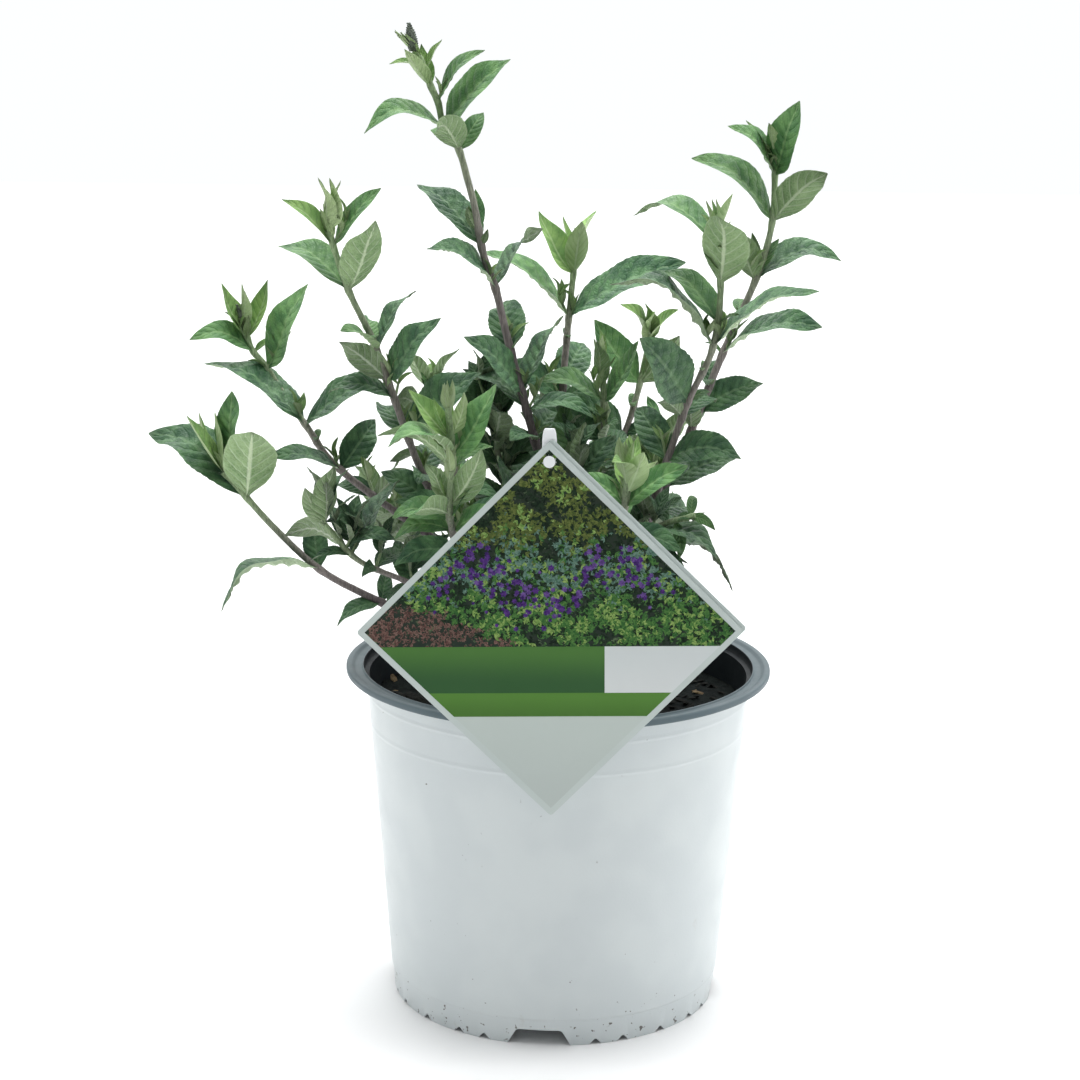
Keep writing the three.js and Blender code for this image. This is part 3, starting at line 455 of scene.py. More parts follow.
class Paint:
    """The shader nodes of one finish, built up a few at a time."""

    def __init__(self, name: str) -> None:
        """Start a finish that has one Principled shader.

        Args:
            name: the name of the finish.
        """
        self.material = bpy.data.materials.new(name)
        self.material.use_nodes = True
        self.tree = self.material.node_tree
        self.tree.nodes.clear()
        self.shader = self.tree.nodes.new("ShaderNodeBsdfPrincipled")
        output = self.tree.nodes.new("ShaderNodeOutputMaterial")
        self.tree.links.new(self.shader.outputs["BSDF"], output.inputs["Surface"])

    def node(self, kind: str, inputs: dict | None = None, **settings) -> bpy.types.ShaderNode:
        """Add a node.

        Args:
            kind: the type of the node.
            inputs: what each socket gets, by name or number: another socket, or a value.
            settings: the node's own settings.

        Returns:
            The node.
        """
        made = self.tree.nodes.new(kind)
        for name, value in settings.items():
            setattr(made, name, value)
        for name, value in (inputs or {}).items():
            self.put(made.inputs[name], value)
        return made

    def put(self, socket: Socket, value: Socket | float | tuple) -> None:
        """Link a socket to another one, or set its value."""
        if isinstance(value, bpy.types.NodeSocket):
            self.tree.links.new(value, socket)
        elif isinstance(value, tuple) and len(value) == 3 and socket.type == "RGBA":
            socket.default_value = (*value, 1.0)
        else:
            socket.default_value = value

    def maths(self, operation: str, *values: Socket | float) -> Socket:
        """Return the result of one operation on one, two or three sockets or numbers."""
        return self.node("ShaderNodeMath", dict(enumerate(values)), operation=operation).outputs[0]

    def fade(self, value: Socket, start: float, end: float, low: float = 0.0, high: float = 1.0) -> Socket:
        """Return a smooth change from low to high while a value goes from start to end."""
        inputs = {"Value": value, "From Min": start, "From Max": end, "To Min": low, "To Max": high}
        return self.node("ShaderNodeMapRange", inputs, interpolation_type="SMOOTHSTEP").outputs["Result"]

    def mix(self, share: Socket, a: Socket | Colour, b: Socket | Colour) -> Socket:
        """Return the mix of two colours."""
        inputs = {0: share, 6: a, 7: b}
        return self.node("ShaderNodeMix", inputs, data_type="RGBA", blend_type="MIX").outputs[2]

    def place(self, scale: Place = (1.0, 1.0, 1.0)) -> Socket:
        """Return the Object coordinates, scaled."""
        source = self.node("ShaderNodeTexCoord").outputs["Object"]
        return self.node("ShaderNodeMapping", {"Vector": source, "Scale": scale}).outputs["Vector"]

    def noise(self, vector: Socket, scale: float, detail: float = 3.0, rough: float = 0.55) -> Socket:
        """Return a soft noise from about 0.3 to 0.7."""
        inputs = {"Vector": vector, "Scale": scale, "Detail": detail, "Roughness": rough}
        return self.node("ShaderNodeTexNoise", inputs).outputs["Fac"]

    def cells(self, vector: Socket, scale: float, feature: str = "F1") -> Socket:
        """Return the distance output of a cell pattern."""
        inputs = {"Vector": vector, "Scale": scale}
        return self.node("ShaderNodeTexVoronoi", inputs, feature=feature).outputs["Distance"]

    def attribute(self, name: str) -> Socket:
        """Return a value that the mesh holds for each of its points."""
        return self.node("ShaderNodeAttribute", attribute_name=name).outputs["Fac"]

    def shone(self, colour: Socket, value: Socket) -> Socket:
        """Return a colour made darker or lighter by a value round 1."""
        return self.node("ShaderNodeHueSaturation", {"Color": colour, "Value": value}).outputs["Color"]

    def relief(self, height: Socket, depth: float) -> None:
        """Raise the surface by a height pattern, depth metres for a whole step."""
        made = self.node("ShaderNodeBump", {"Height": height, "Distance": depth, "Strength": 1.0})
        self.put(self.shader.inputs["Normal"], made.outputs["Normal"])

    def finish(
        self, colour: Socket | Colour, roughness: Socket | float, **sockets: float
    ) -> bpy.types.Material:
        """Set the shader.

        Args:
            colour: the base colour, a socket or a plain colour.
            roughness: the roughness, a socket or a number.
            sockets: the shader's other inputs by name, with _ for a space.

        Returns:
            The material.
        """
        self.put(self.shader.inputs["Base Color"], colour)
        self.put(self.shader.inputs["Roughness"], roughness)
        for name, value in sockets.items():
            self.put(self.shader.inputs[name.replace("_", " ")], value)
        return self.material


@dataclass(frozen=True)
class LeafFinish:
    """One face of a kind of leaf: felted, with side veins and a net of fine veins between them."""

    name: str
    blade: Colour
    shade: Colour
    vein: Colour
    rib: Colour
    net: float = 0.4
    vein_share: float = 0.7
    rib_share: float = 0.8
    margin: float = 0.5
    tip: float = 0.0
    roughness: float = 0.62
    felt: float = 0.1
    depth: float = 0.0005

    def material(self) -> bpy.types.Material:
        """Build the finish, laid out along and across each leaf by its own map."""
        paint = Paint(self.name)
        chart = paint.node("ShaderNodeUVMap", uv_map="leaf").outputs["UV"]
        split = paint.node("ShaderNodeSeparateXYZ", {0: chart}).outputs
        off = paint.maths("ABSOLUTE", paint.maths("MULTIPLY_ADD", split["X"], 2.0, -1.0), 0.0)
        lean = paint.maths("MULTIPLY", paint.maths("POWER", off, VEIN_BOW), VEIN_SLANT)
        along = paint.maths("MULTIPLY", paint.maths("SUBTRACT", split["Y"], lean), VEINS)
        wave = paint.maths("PINGPONG", along, 0.5)
        inward = paint.fade(off, 0.7, 1.0, 1.0, 0.2)
        side = paint.maths("MULTIPLY", paint.fade(wave, 0.0, 0.16, 1.0, 0.0), inward)
        rib = paint.fade(off, 0.04, 0.11, 1.0, 0.0)
        stretched = paint.node("ShaderNodeMapping", {"Vector": chart, "Scale": (13.0, 38.0, 1.0)}).outputs[0]
        net = paint.fade(paint.cells(stretched, 1.0, "DISTANCE_TO_EDGE"), 0.02, 0.22, 1.0, 0.0)
        # the colour: blotches, then the veins and their net, painted darker on the tops as painted shade in
        # the sunk veins and their own paler colour on the undersides, then the pale rib, rim and tip
        blotch = paint.fade(paint.noise(paint.place(), 130.0, 4.0), 0.35, 0.65)
        branching = paint.maths("MULTIPLY", side, self.vein_share)
        seen = paint.maths("MAXIMUM", branching, paint.maths("MULTIPLY", net, self.net))
        colour = paint.mix(seen, paint.mix(blotch, self.shade, self.blade), self.vein)
        middle = paint.maths("MULTIPLY", rib, self.rib_share)
        pale = paint.maths("MAXIMUM", middle, paint.fade(off, 0.9, 1.0, 0.0, self.margin))
        pale = paint.maths("MAXIMUM", pale, paint.fade(split["Y"], 0.92, 0.99, 0.0, self.tip))
        # each leaf's tone attribute makes it lighter or darker: its own variety, with painted light and shade
        # by where it grows
        colour = paint.shone(paint.mix(pale, colour, self.rib), paint.attribute("tone"))
        # the relief: swollen between the side veins, sunk along every vein
        swell = paint.maths("SUBTRACT", wave, paint.maths("MULTIPLY", net, 0.18))
        sunk = paint.maths("MULTIPLY", paint.maths("MAXIMUM", side, rib), 0.3)
        paint.relief(paint.maths("SUBTRACT", swell, sunk), self.depth)
        rough = paint.fade(net, 0.0, 1.0, self.roughness - 0.08, self.roughness + 0.08)
        return paint.finish(
            colour, rough, Sheen_Weight=self.felt, Sheen_Roughness=0.45, Specular_IOR_Level=0.35
        )


@dataclass(frozen=True)
class BarkFinish:
    """Stem skin that goes from woody at the foot to green and felted at the tip."""

    name: str
    foot: Colour
    middle: Colour
    tip: Colour
    streak: float = 0.35
    roughness: float = 0.75
    depth: float = 0.0003

    def material(self) -> bpy.types.Material:
        """Build the finish, led by the stem's age attribute and streaked along it."""
        paint = Paint(self.name)
        age = paint.attribute("age")
        colour = paint.mix(paint.fade(age, 0.1, 0.55), self.foot, self.middle)
        colour = paint.mix(paint.fade(age, 0.5, 0.95), colour, self.tip)
        grain = paint.noise(paint.place((1.0, 1.0, 0.12)), 1400.0, 5.0, 0.7)
        spots = paint.noise(paint.place(), 420.0, 3.0)
        colour = paint.shone(colour, paint.fade(grain, 0.35, 0.65, 1.0 - self.streak, 1.0 + self.streak))
        paint.relief(paint.maths("ADD", grain, spots), self.depth)
        rough = paint.fade(spots, 0.3, 0.7, self.roughness - 0.1, self.roughness + 0.1)
        return paint.finish(colour, rough, Sheen_Weight=0.1)


@dataclass(frozen=True)
class PlasticFinish:
    """Moulded plastic with a faint cloud in its colour and, near the ground, soil marks."""

    name: str
    colour: Colour
    cloud: Colour
    roughness: float = 0.4
    soil: float = 0.0
    depth: float = 0.00005
    specular: float = 0.4
    smear_colour: Colour = (0.42, 0.4, 0.34)
    soil_colour: Colour = (0.06, 0.045, 0.03)

    def material(self) -> bpy.types.Material:
        """Build the finish."""
        paint = Paint(self.name)
        place = paint.place()
        colour = paint.mix(paint.fade(paint.noise(place, 28.0, 2.0), 0.35, 0.65), self.colour, self.cloud)
        if self.soil > 0:
            height = paint.node("ShaderNodeSeparateXYZ", {0: place}).outputs["Z"]
            low = paint.fade(height, 0.002, 0.03, 0.1, 0.0)
            smears = paint.maths("ADD", paint.noise(place, 55.0, 5.0, 0.7), low)
            colour = paint.mix(paint.fade(smears, 0.68, 0.85, 0.0, 0.35), colour, self.smear_colour)
            specks = paint.maths("ADD", paint.noise(place, 260.0, 2.0, 0.8), low)
            colour = paint.mix(paint.fade(specks, 0.735, 0.79, 0.0, self.soil), colour, self.soil_colour)
        paint.relief(paint.noise(place, 900.0, 3.0), self.depth)
        wear = paint.noise(place, 70.0, 4.0)
        rough = paint.fade(wear, 0.3, 0.7, self.roughness - 0.05, self.roughness + 0.08)
        return paint.finish(colour, rough, Specular_IOR_Level=self.specular)


@dataclass(frozen=True)
class LooseFinish:
    """Peat, bark chips, bud scales and printed ink: matte, with a rough grain."""

    name: str
    dark: Colour
    light: Colour
    scale: float = 500.0
    roughness: float = 0.9
    depth: float = 0.0004
    specular: float = 0.08

    def material(self) -> bpy.types.Material:
        """Build the finish."""
        paint = Paint(self.name)
        grain = paint.noise(paint.place(), self.scale, 6.0, 0.7)
        colour = paint.mix(paint.fade(grain, 0.38, 0.62), self.dark, self.light)
        paint.relief(grain, self.depth)
        return paint.finish(colour, self.roughness, Specular_IOR_Level=self.specular)


@dataclass(frozen=True)
class PrintFinish:
    """One printed field of the tag: a colour that may change from its top to its foot."""

    name: str
    top: Colour
    foot: Colour
    high: float
    low: float
    dots: float = 0.0
    roughness: float = 0.35
    dot_colour: Colour = (0.01, 0.02, 0.012)
    speck_colour: Colour = (0.2, 0.32, 0.14)

    def material(self) -> bpy.types.Material:
        """Build the finish; heights are in millimetres."""
        paint = Paint(self.name)
        place = paint.place()
        height = paint.node("ShaderNodeSeparateXYZ", {0: place}).outputs["Z"]
        colour = paint.mix(paint.fade(height, self.low * MM, self.high * MM), self.foot, self.top)
        if self.dots > 0:
            leafy = paint.cells(paint.place((1.0, 1.0, 1.6)), 420.0)
            colour = paint.mix(paint.fade(leafy, 0.15, 0.6, 0.0, self.dots), colour, self.dot_colour)
            specks = paint.fade(paint.noise(place, 330.0, 5.0, 0.75), 0.56, 0.7, 0.0, 0.5)
            colour = paint.mix(specks, colour, self.speck_colour)
        paint.relief(paint.noise(place, 2500.0, 2.0), 0.00002)
        wear = paint.noise(place, 60.0, 3.0)
        rough = paint.fade(wear, 0.3, 0.7, self.roughness - 0.05, self.roughness + 0.05)
        return paint.finish(colour, rough, Specular_IOR_Level=0.2)


class Palette:
    """Every finish of the plant and its pot, each built once when it is first asked for."""

    FINISHES = (
        # on the tops the vein colour is darker than the blade: painted shade in the sunk veins; on the
        # undersides the paler veins are their own colour
        LeafFinish(
            "mature_top", (0.1, 0.22, 0.09), (0.032, 0.098, 0.043), (0.024, 0.07, 0.034), (0.17, 0.29, 0.15),
            net=0.25, vein_share=0.38, rib_share=0.6, margin=0.2, tip=0.6,
            felt=0.07, roughness=0.5, depth=0.0006,
        ),
        LeafFinish(
            "mature_under", (0.3, 0.42, 0.22), (0.2, 0.31, 0.14), (0.58, 0.69, 0.5), (0.66, 0.74, 0.58),
            net=0.25, margin=0.3, felt=0.12, depth=0.0012,
        ),
        LeafFinish(
            "middle_top", (0.14, 0.29, 0.095), (0.062, 0.165, 0.055), (0.04, 0.12, 0.035), (0.24, 0.39, 0.17),
            net=0.18, vein_share=0.32, rib_share=0.6, margin=0.22, tip=0.5, felt=0.08, roughness=0.5,
        ),
        LeafFinish(
            "middle_under", (0.28, 0.41, 0.19), (0.18, 0.3, 0.12), (0.52, 0.65, 0.41), (0.6, 0.7, 0.48),
            net=0.22, margin=0.25, depth=0.001,
        ),
        LeafFinish(
            "young_top", (0.25, 0.41, 0.125), (0.145, 0.28, 0.08), (0.1, 0.21, 0.06), (0.36, 0.5, 0.24),
            net=0.08, vein_share=0.35, felt=0.08, depth=0.0004,
        ),
        LeafFinish(
            "young_under", (0.42, 0.54, 0.28), (0.32, 0.44, 0.2), (0.44, 0.56, 0.31), (0.5, 0.6, 0.38),
            net=0.08, vein_share=0.4, margin=0.3, felt=0.12, depth=0.0004,
        ),
        BarkFinish("stem_skin", (0.1, 0.078, 0.084), (0.2, 0.175, 0.165), (0.25, 0.34, 0.18)),
        BarkFinish(
            "bark", (0.085, 0.062, 0.05), (0.12, 0.09, 0.08), (0.14, 0.105, 0.095), streak=0.5, depth=0.0006
        ),
        LooseFinish("bud_skin", (0.07, 0.08, 0.07), (0.17, 0.2, 0.16), 900.0, 0.7, 0.0002),
        PlasticFinish("pot_white", (0.61, 0.655, 0.66), (0.575, 0.62, 0.63), 0.36, soil=0.85),
        PlasticFinish("pot_grey", (0.115, 0.15, 0.165), (0.1, 0.135, 0.15), depth=0.00001, specular=0.14),
        # the inner ridge of the rim, a little lighter than the rim: a painted highlight
        PlasticFinish("pot_ridge_painted_highlight", (0.13, 0.165, 0.18), (0.115, 0.15, 0.165), depth=0.00001, specular=0.2),
        PlasticFinish("pot_black", (0.008, 0.012, 0.015), (0.012, 0.017, 0.02), 0.5, specular=0.12),
        LooseFinish("peat", (0.004, 0.006, 0.006), (0.011, 0.015, 0.014), 320.0, depth=0.001),
        LooseFinish("chip_dark", (0.007, 0.008, 0.008), (0.024, 0.025, 0.022), 420.0),
        LooseFinish("chip_tan", (0.08, 0.055, 0.035), (0.2, 0.15, 0.09), 420.0),
        PlasticFinish("holder_white", (0.82, 0.84, 0.85), (0.78, 0.8, 0.81), 0.35),
        PlasticFinish("tag_white", (0.5, 0.56, 0.54), (0.47, 0.53, 0.51), 0.35, specular=0.2),
    )

    def __init__(self) -> None:
        """List the finishes by name."""
        self._finishes = {f.name: f for f in (*self.FINISHES, *Tag.PRINTS)}
        self._made: dict[str, bpy.types.Material] = {}

    def __getitem__(self, name: str) -> bpy.types.Material:
        """Return the material of a finish."""
        if name not in self._made:
            self._made[name] = self._finishes[name].material()
        return self._made[name]


# ------------------------------------------------------------------------------------ making pieces


class Bench:
    """Turns bmeshes and arrays, in millimetres, into pieces of the object."""

    def __init__(self, palette: Palette) -> None:
        """Start with no pieces.

        Args:
            palette: the finishes that the pieces are given.
        """
        self.palette = palette
        self.pieces: list[bpy.types.Object] = []

    def piece(
        self,
        name: str,
        mesh: bpy.types.Mesh,
        finishes: list[str],
        slot: str,
        replaces: tuple[str, ...] = (),
    ) -> bpy.types.Object:
        """Add a finished mesh to the object.

        Args:
            name: the piece's name.
            mesh: its mesh, in millimetres.
            finishes: the names of its finishes, in the order of its face slots.
            slot: the record's material slot; not used.
            replaces: the CAD nodes it stands for.

        Returns:
            The piece.
        """
        mesh.transform(Matrix.Scale(MM, 4))
        mesh.name = name
        for finish in finishes:
            mesh.materials.append(self.palette[finish])
        made = bpy.data.objects.new(name, mesh)
        bpy.context.scene.collection.objects.link(made)
        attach(made, "root")
        if replaces:
            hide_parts(*replaces)
        self.pieces.append(made)
        log.info("%s: %d faces", name, len(mesh.polygons))
        return made

    def from_bmesh(
        self,
        name: str,
        bm: BMesh,
        finish: str,
        slot: str,
        replaces: tuple[str, ...] = (),
        smooth: float = 0.0,
    ) -> bpy.types.Object:
        """Add a bmesh to the object and free it.

        Args:
            name: the piece's name.
            bm: its bmesh, in millimetres.
            finish: the name of its finish.
            slot: the record's material slot, handed on to piece, which doesn't use it.
            replaces: the CAD nodes it stands for.
            smooth: the angle in degrees over which an edge stays sharp, or 0 for flat faces.

        Returns:
            The piece.
        """
        mesh = mesh_of(name, bm)
        if smooth > 0:
            mesh.shade_smooth()
            mesh.set_sharp_from_angle(angle=math.radians(smooth))
        return self.piece(name, mesh, [finish], slot, replaces)


def cut(mesh: bpy.types.Mesh, cutter: BMesh) -> bpy.types.Mesh:
    """Cut one mesh by another, and free the cutter.

    Args:
        mesh: the closed mesh that is cut.
        cutter: the closed bmesh that is taken away.

    Returns:
        A new mesh.
    """
    tool_mesh = mesh_of("cutter", cutter)
    tool = bpy.data.objects.new("cutter", tool_mesh)
    body = bpy.data.objects.new("body", mesh)
    for part in (tool, body):
        bpy.context.scene.collection.objects.link(part)
    change = body.modifiers.new("cut", "BOOLEAN")
    change.operation, change.solver, change.object = "DIFFERENCE", "MANIFOLD", tool
    bpy.context.view_layer.update()
    made = bpy.data.meshes.new_from_object(body.evaluated_get(bpy.context.evaluated_depsgraph_get()))
    for part in (tool, body):
        bpy.data.objects.remove(part)
    bpy.data.meshes.remove(tool_mesh)
    made.materials.clear()
    return made


def lathe(profile: list[tuple[float, float]], steps: int) -> BMesh:
    """Spin a profile about the upright axis.

    Args:
        profile: radius and height of each point, from one end on the axis to the other.
        steps: how many steps a whole turn has.

    Returns:
        The closed bmesh, faces outwards.
    """
    bm = bmesh.new()
    points = [bm.verts.new((radius, 0, height)) for radius, height in profile]
    edges = [bm.edges.new(pair) for pair in zip(points, points[1:])]
    bmesh.ops.spin(
        bm, geom=points + edges, cent=(0, 0, 0), axis=(0, 0, 1), dvec=(0, 0, 0), angle=2 * math.pi,
        steps=steps, use_merge=True, use_duplicate=False,
    )
    bmesh.ops.remove_doubles(bm, verts=bm.verts, dist=1e-3)
    bmesh.ops.recalc_face_normals(bm, faces=bm.faces)
    return bm


class Limb:
    """A tapering round limb swept along a curve, with nodes, a skin with relief and a closed tip."""

    def __init__(self, places: np.ndarray, radii: np.ndarray, ages: np.ndarray, sides: int = 10) -> None:
        """Set out the limb.

        Args:
            places: the middle of each ring.
            radii: the radius of each ring.
            ages: from 0 at the woody end to 1 at the green tip, for each ring.
            sides: how many sides a ring has.
        """
        self.places, self.radii, self.ages, self.sides = places, radii, ages, sides

    def grow(self, bm: BMesh, relief: float, grain: float = 0.5) -> None:
        """Add the limb to a bmesh.

        Args:
            bm: the bmesh that it is added to, with a float layer named age.
            relief: how far the skin stands in and out.
            grain: how fine the relief is, in waves to a millimetre.
        """
        age = bm.verts.layers.float.get("age") or bm.verts.layers.float.new("age")
        tangents = unit(np.gradient(self.places, axis=0))
        frames, side = [], unit(np.cross(tangents[0], [0.31, 0.95, 0.02]))
        for place, tangent, radius in zip(self.places, tangents, self.radii):
            side = unit(side - tangent * (side @ tangent))
            other = np.cross(tangent, side)
            columns = np.stack([side * radius, other * radius, tangent * radius], axis=1)
            frames.append(Matrix([[*columns[k], place[k]] for k in range(3)] + [[0, 0, 0, 1]]))
        ring = bmesh.ops.create_circle(bm, cap_ends=True, segments=self.sides, radius=1.0)["verts"]
        bmesh.ops.transform(bm, matrix=frames[0], verts=ring)
        foot = ring[0].link_faces[0]
        edges, every = list(foot.edges), list(ring)
        for vert in ring:
            vert[age] = float(self.ages[0])
        for i in range(1, len(frames)):
            made = bmesh.ops.extrude_edge_only(bm, edges=edges)
            ring = new_verts(made)
            edges = [part for part in made["geom"] if isinstance(part, bmesh.types.BMEdge)]
            bmesh.ops.transform(bm, matrix=frames[i] @ frames[i - 1].inverted(), verts=ring)
            for vert in ring:
                vert[age] = float(self.ages[i])
            every.extend(ring)
        tip = bmesh.ops.contextual_create(bm, geom=edges)["faces"]
        faces = {face for vert in every for face in vert.link_faces}
        bmesh.ops.recalc_face_normals(bm, faces=list(faces | set(tip)))
        for vert in every:
            vert.normal_update()
        for vert in every:
            p = vert.co
            bump = noise.noise(Vector((p.x * grain, p.y * grain, p.z * grain * 0.35)))
            vert.co = p + vert.normal * relief * bump


# ------------------------------------------------------------------------------------ leaves


@dataclass(frozen=True)
class LeafForm:
    """How the blade of one kind of leaf is cut and bent.

    The outline gives the width at shares of the length. The columns are the lines along the leaf, from
    edge to edge. The depth of teeth, waves and puckers is a share of the width; curl and sway are shares
    of the length, the curl as its mean and its spread. Twist and roll are spreads in degrees, and the
    thickness and the rib are in millimetres.
    """

    top: str
    under: str
    rows: int
    columns: tuple[float, ...]
    outline: tuple[tuple[float, float], ...]
    teeth: int = 0
    tooth: float = 0.0
    wave: float = 0.0
    waves: float = 3.0
    pucker: float = 0.0
    fold: float = 0.2
    curl: tuple[float, float] = (0.13, 0.07)
    sway: float = 0.06
    twist: float = 8.0
    tip_roll: float = 0.0
    thickness: float = 0.35
    rib: float = 0.5


OVATE = (
    (0.0, 0.1), (0.04, 0.18), (0.09, 0.4), (0.16, 0.71), (0.26, 0.96), (0.38, 1.06),
    (0.52, 1.04), (0.65, 0.91), (0.77, 0.68), (0.87, 0.43), (0.95, 0.19), (1.0, 0.03),
)
LANCE = (
    (0.0, 0.1), (0.06, 0.2), (0.14, 0.5), (0.26, 0.86), (0.42, 1.0),
    (0.58, 0.9), (0.74, 0.63), (0.88, 0.32), (0.96, 0.12), (1.0, 0.03),
)
FULL = (-1.0, -0.82, -0.5, -0.2, 0.0, 0.2, 0.5, 0.82, 1.0)
PLAIN = (-1.0, -0.6, 0.0, 0.6, 1.0)


class LeafKind(Enum):
    """The kinds of leaf on the plant, from the woody end to the tip."""

    MATURE = LeafForm(
        "mature_top", "mature_under", 36, FULL, OVATE,
        teeth=17, tooth=0.045, wave=0.03, waves=2.4, pucker=0.06, fold=0.24, tip_roll=28.0,
    )
    MIDDLE = LeafForm(
        "middle_top", "middle_under", 30, FULL, OVATE,
        teeth=14, tooth=0.025, wave=0.025, waves=2.0, pucker=0.04, fold=0.28, tip_roll=28.0,
    )
    YOUNG = LeafForm(
        "young_top", "young_under", 18, PLAIN, LANCE,
        wave=0.02, waves=1.6, fold=0.5, curl=(0.05, 0.08), twist=10.0, thickness=0.3, rib=0.35,
    )


@dataclass(frozen=True)
class PlainLeaf:
    """The folded blade that the solids are built with.

    Keel and long are in millimetres. A leaf that is no longer than long has the short stations, which
    give the width, as a share of the widest, at shares of the length.
    """

    keel: float = 0.9
    fold: float = 0.12
    long: float = 24.0
    stations: tuple[tuple[float, float], ...] = ((0.15, 0.64), (0.42, 1.0), (0.76, 0.66))
    short_stations: tuple[tuple[float, float], ...] = ((0.26, 0.9), (0.66, 0.8))


PLAIN_LEAF = PlainLeaf()


@dataclass
class Leaf:
    """One leaf where it grows, in millimetres and radians."""

    root: np.ndarray
    heading: float
    rise: float
    tilt: float
    length: float
    width: float
    arch: float
    kind: LeafKind
    tone: float = 1.0

    def axes(self) -> tuple[np.ndarray, ...]:
        """Return the leaf's own directions: along it, above it, across it and out of its face."""
        level = np.array([math.cos(self.heading), math.sin(self.heading), 0.0])
        chord = level * math.cos(self.rise) + UP * math.sin(self.rise)
        above = -level * math.sin(self.rise) + UP * math.cos(self.rise)
        roll = -self.tilt if level[0] < 0 else self.tilt
        side = turned(np.cross(above, chord), chord, roll)
        return chord, above, side, turned(above, chord, roll)

    def plain(self, swell: float) -> BVHTree:
        """Return the search tree of the plain leaf that the solids are built with, made thicker."""
        chord, above, side, face = self.axes()
        long = self.length > PLAIN_LEAF.long
        stations = PLAIN_LEAF.stations if long else PLAIN_LEAF.short_stations
        points = [self.root]
        for u, fullness in stations:
            middle = self.root + chord * u * self.length + above * self.arch * self.length * 4 * u * (1 - u)
            half = fullness * self.width / 2 + swell
            lift = face * (PLAIN_LEAF.fold * half + swell)
            points += [middle + side * half + lift, middle - side * half + lift]
            points.append(middle - face * (PLAIN_LEAF.keel + swell))
        points.append(self.root + chord * (self.length + swell))
        last = len(points) - 1
        faces = [(0, 1 + k, 1 + (k + 1) % 3) for k in range(3)]
        for i in range(len(stations) - 1):
            for k in range(3):
                a, b = 1 + 3 * i + k, 1 + 3 * i + (k + 1) % 3
                faces += [(a, b, b + 3), (a, b + 3, a + 3)]
        faces += [(last - 3 + k, last - 3 + (k + 1) % 3, last) for k in range(3)]
        return BVHTree.FromPolygons([Vector(p) for p in points], faces)


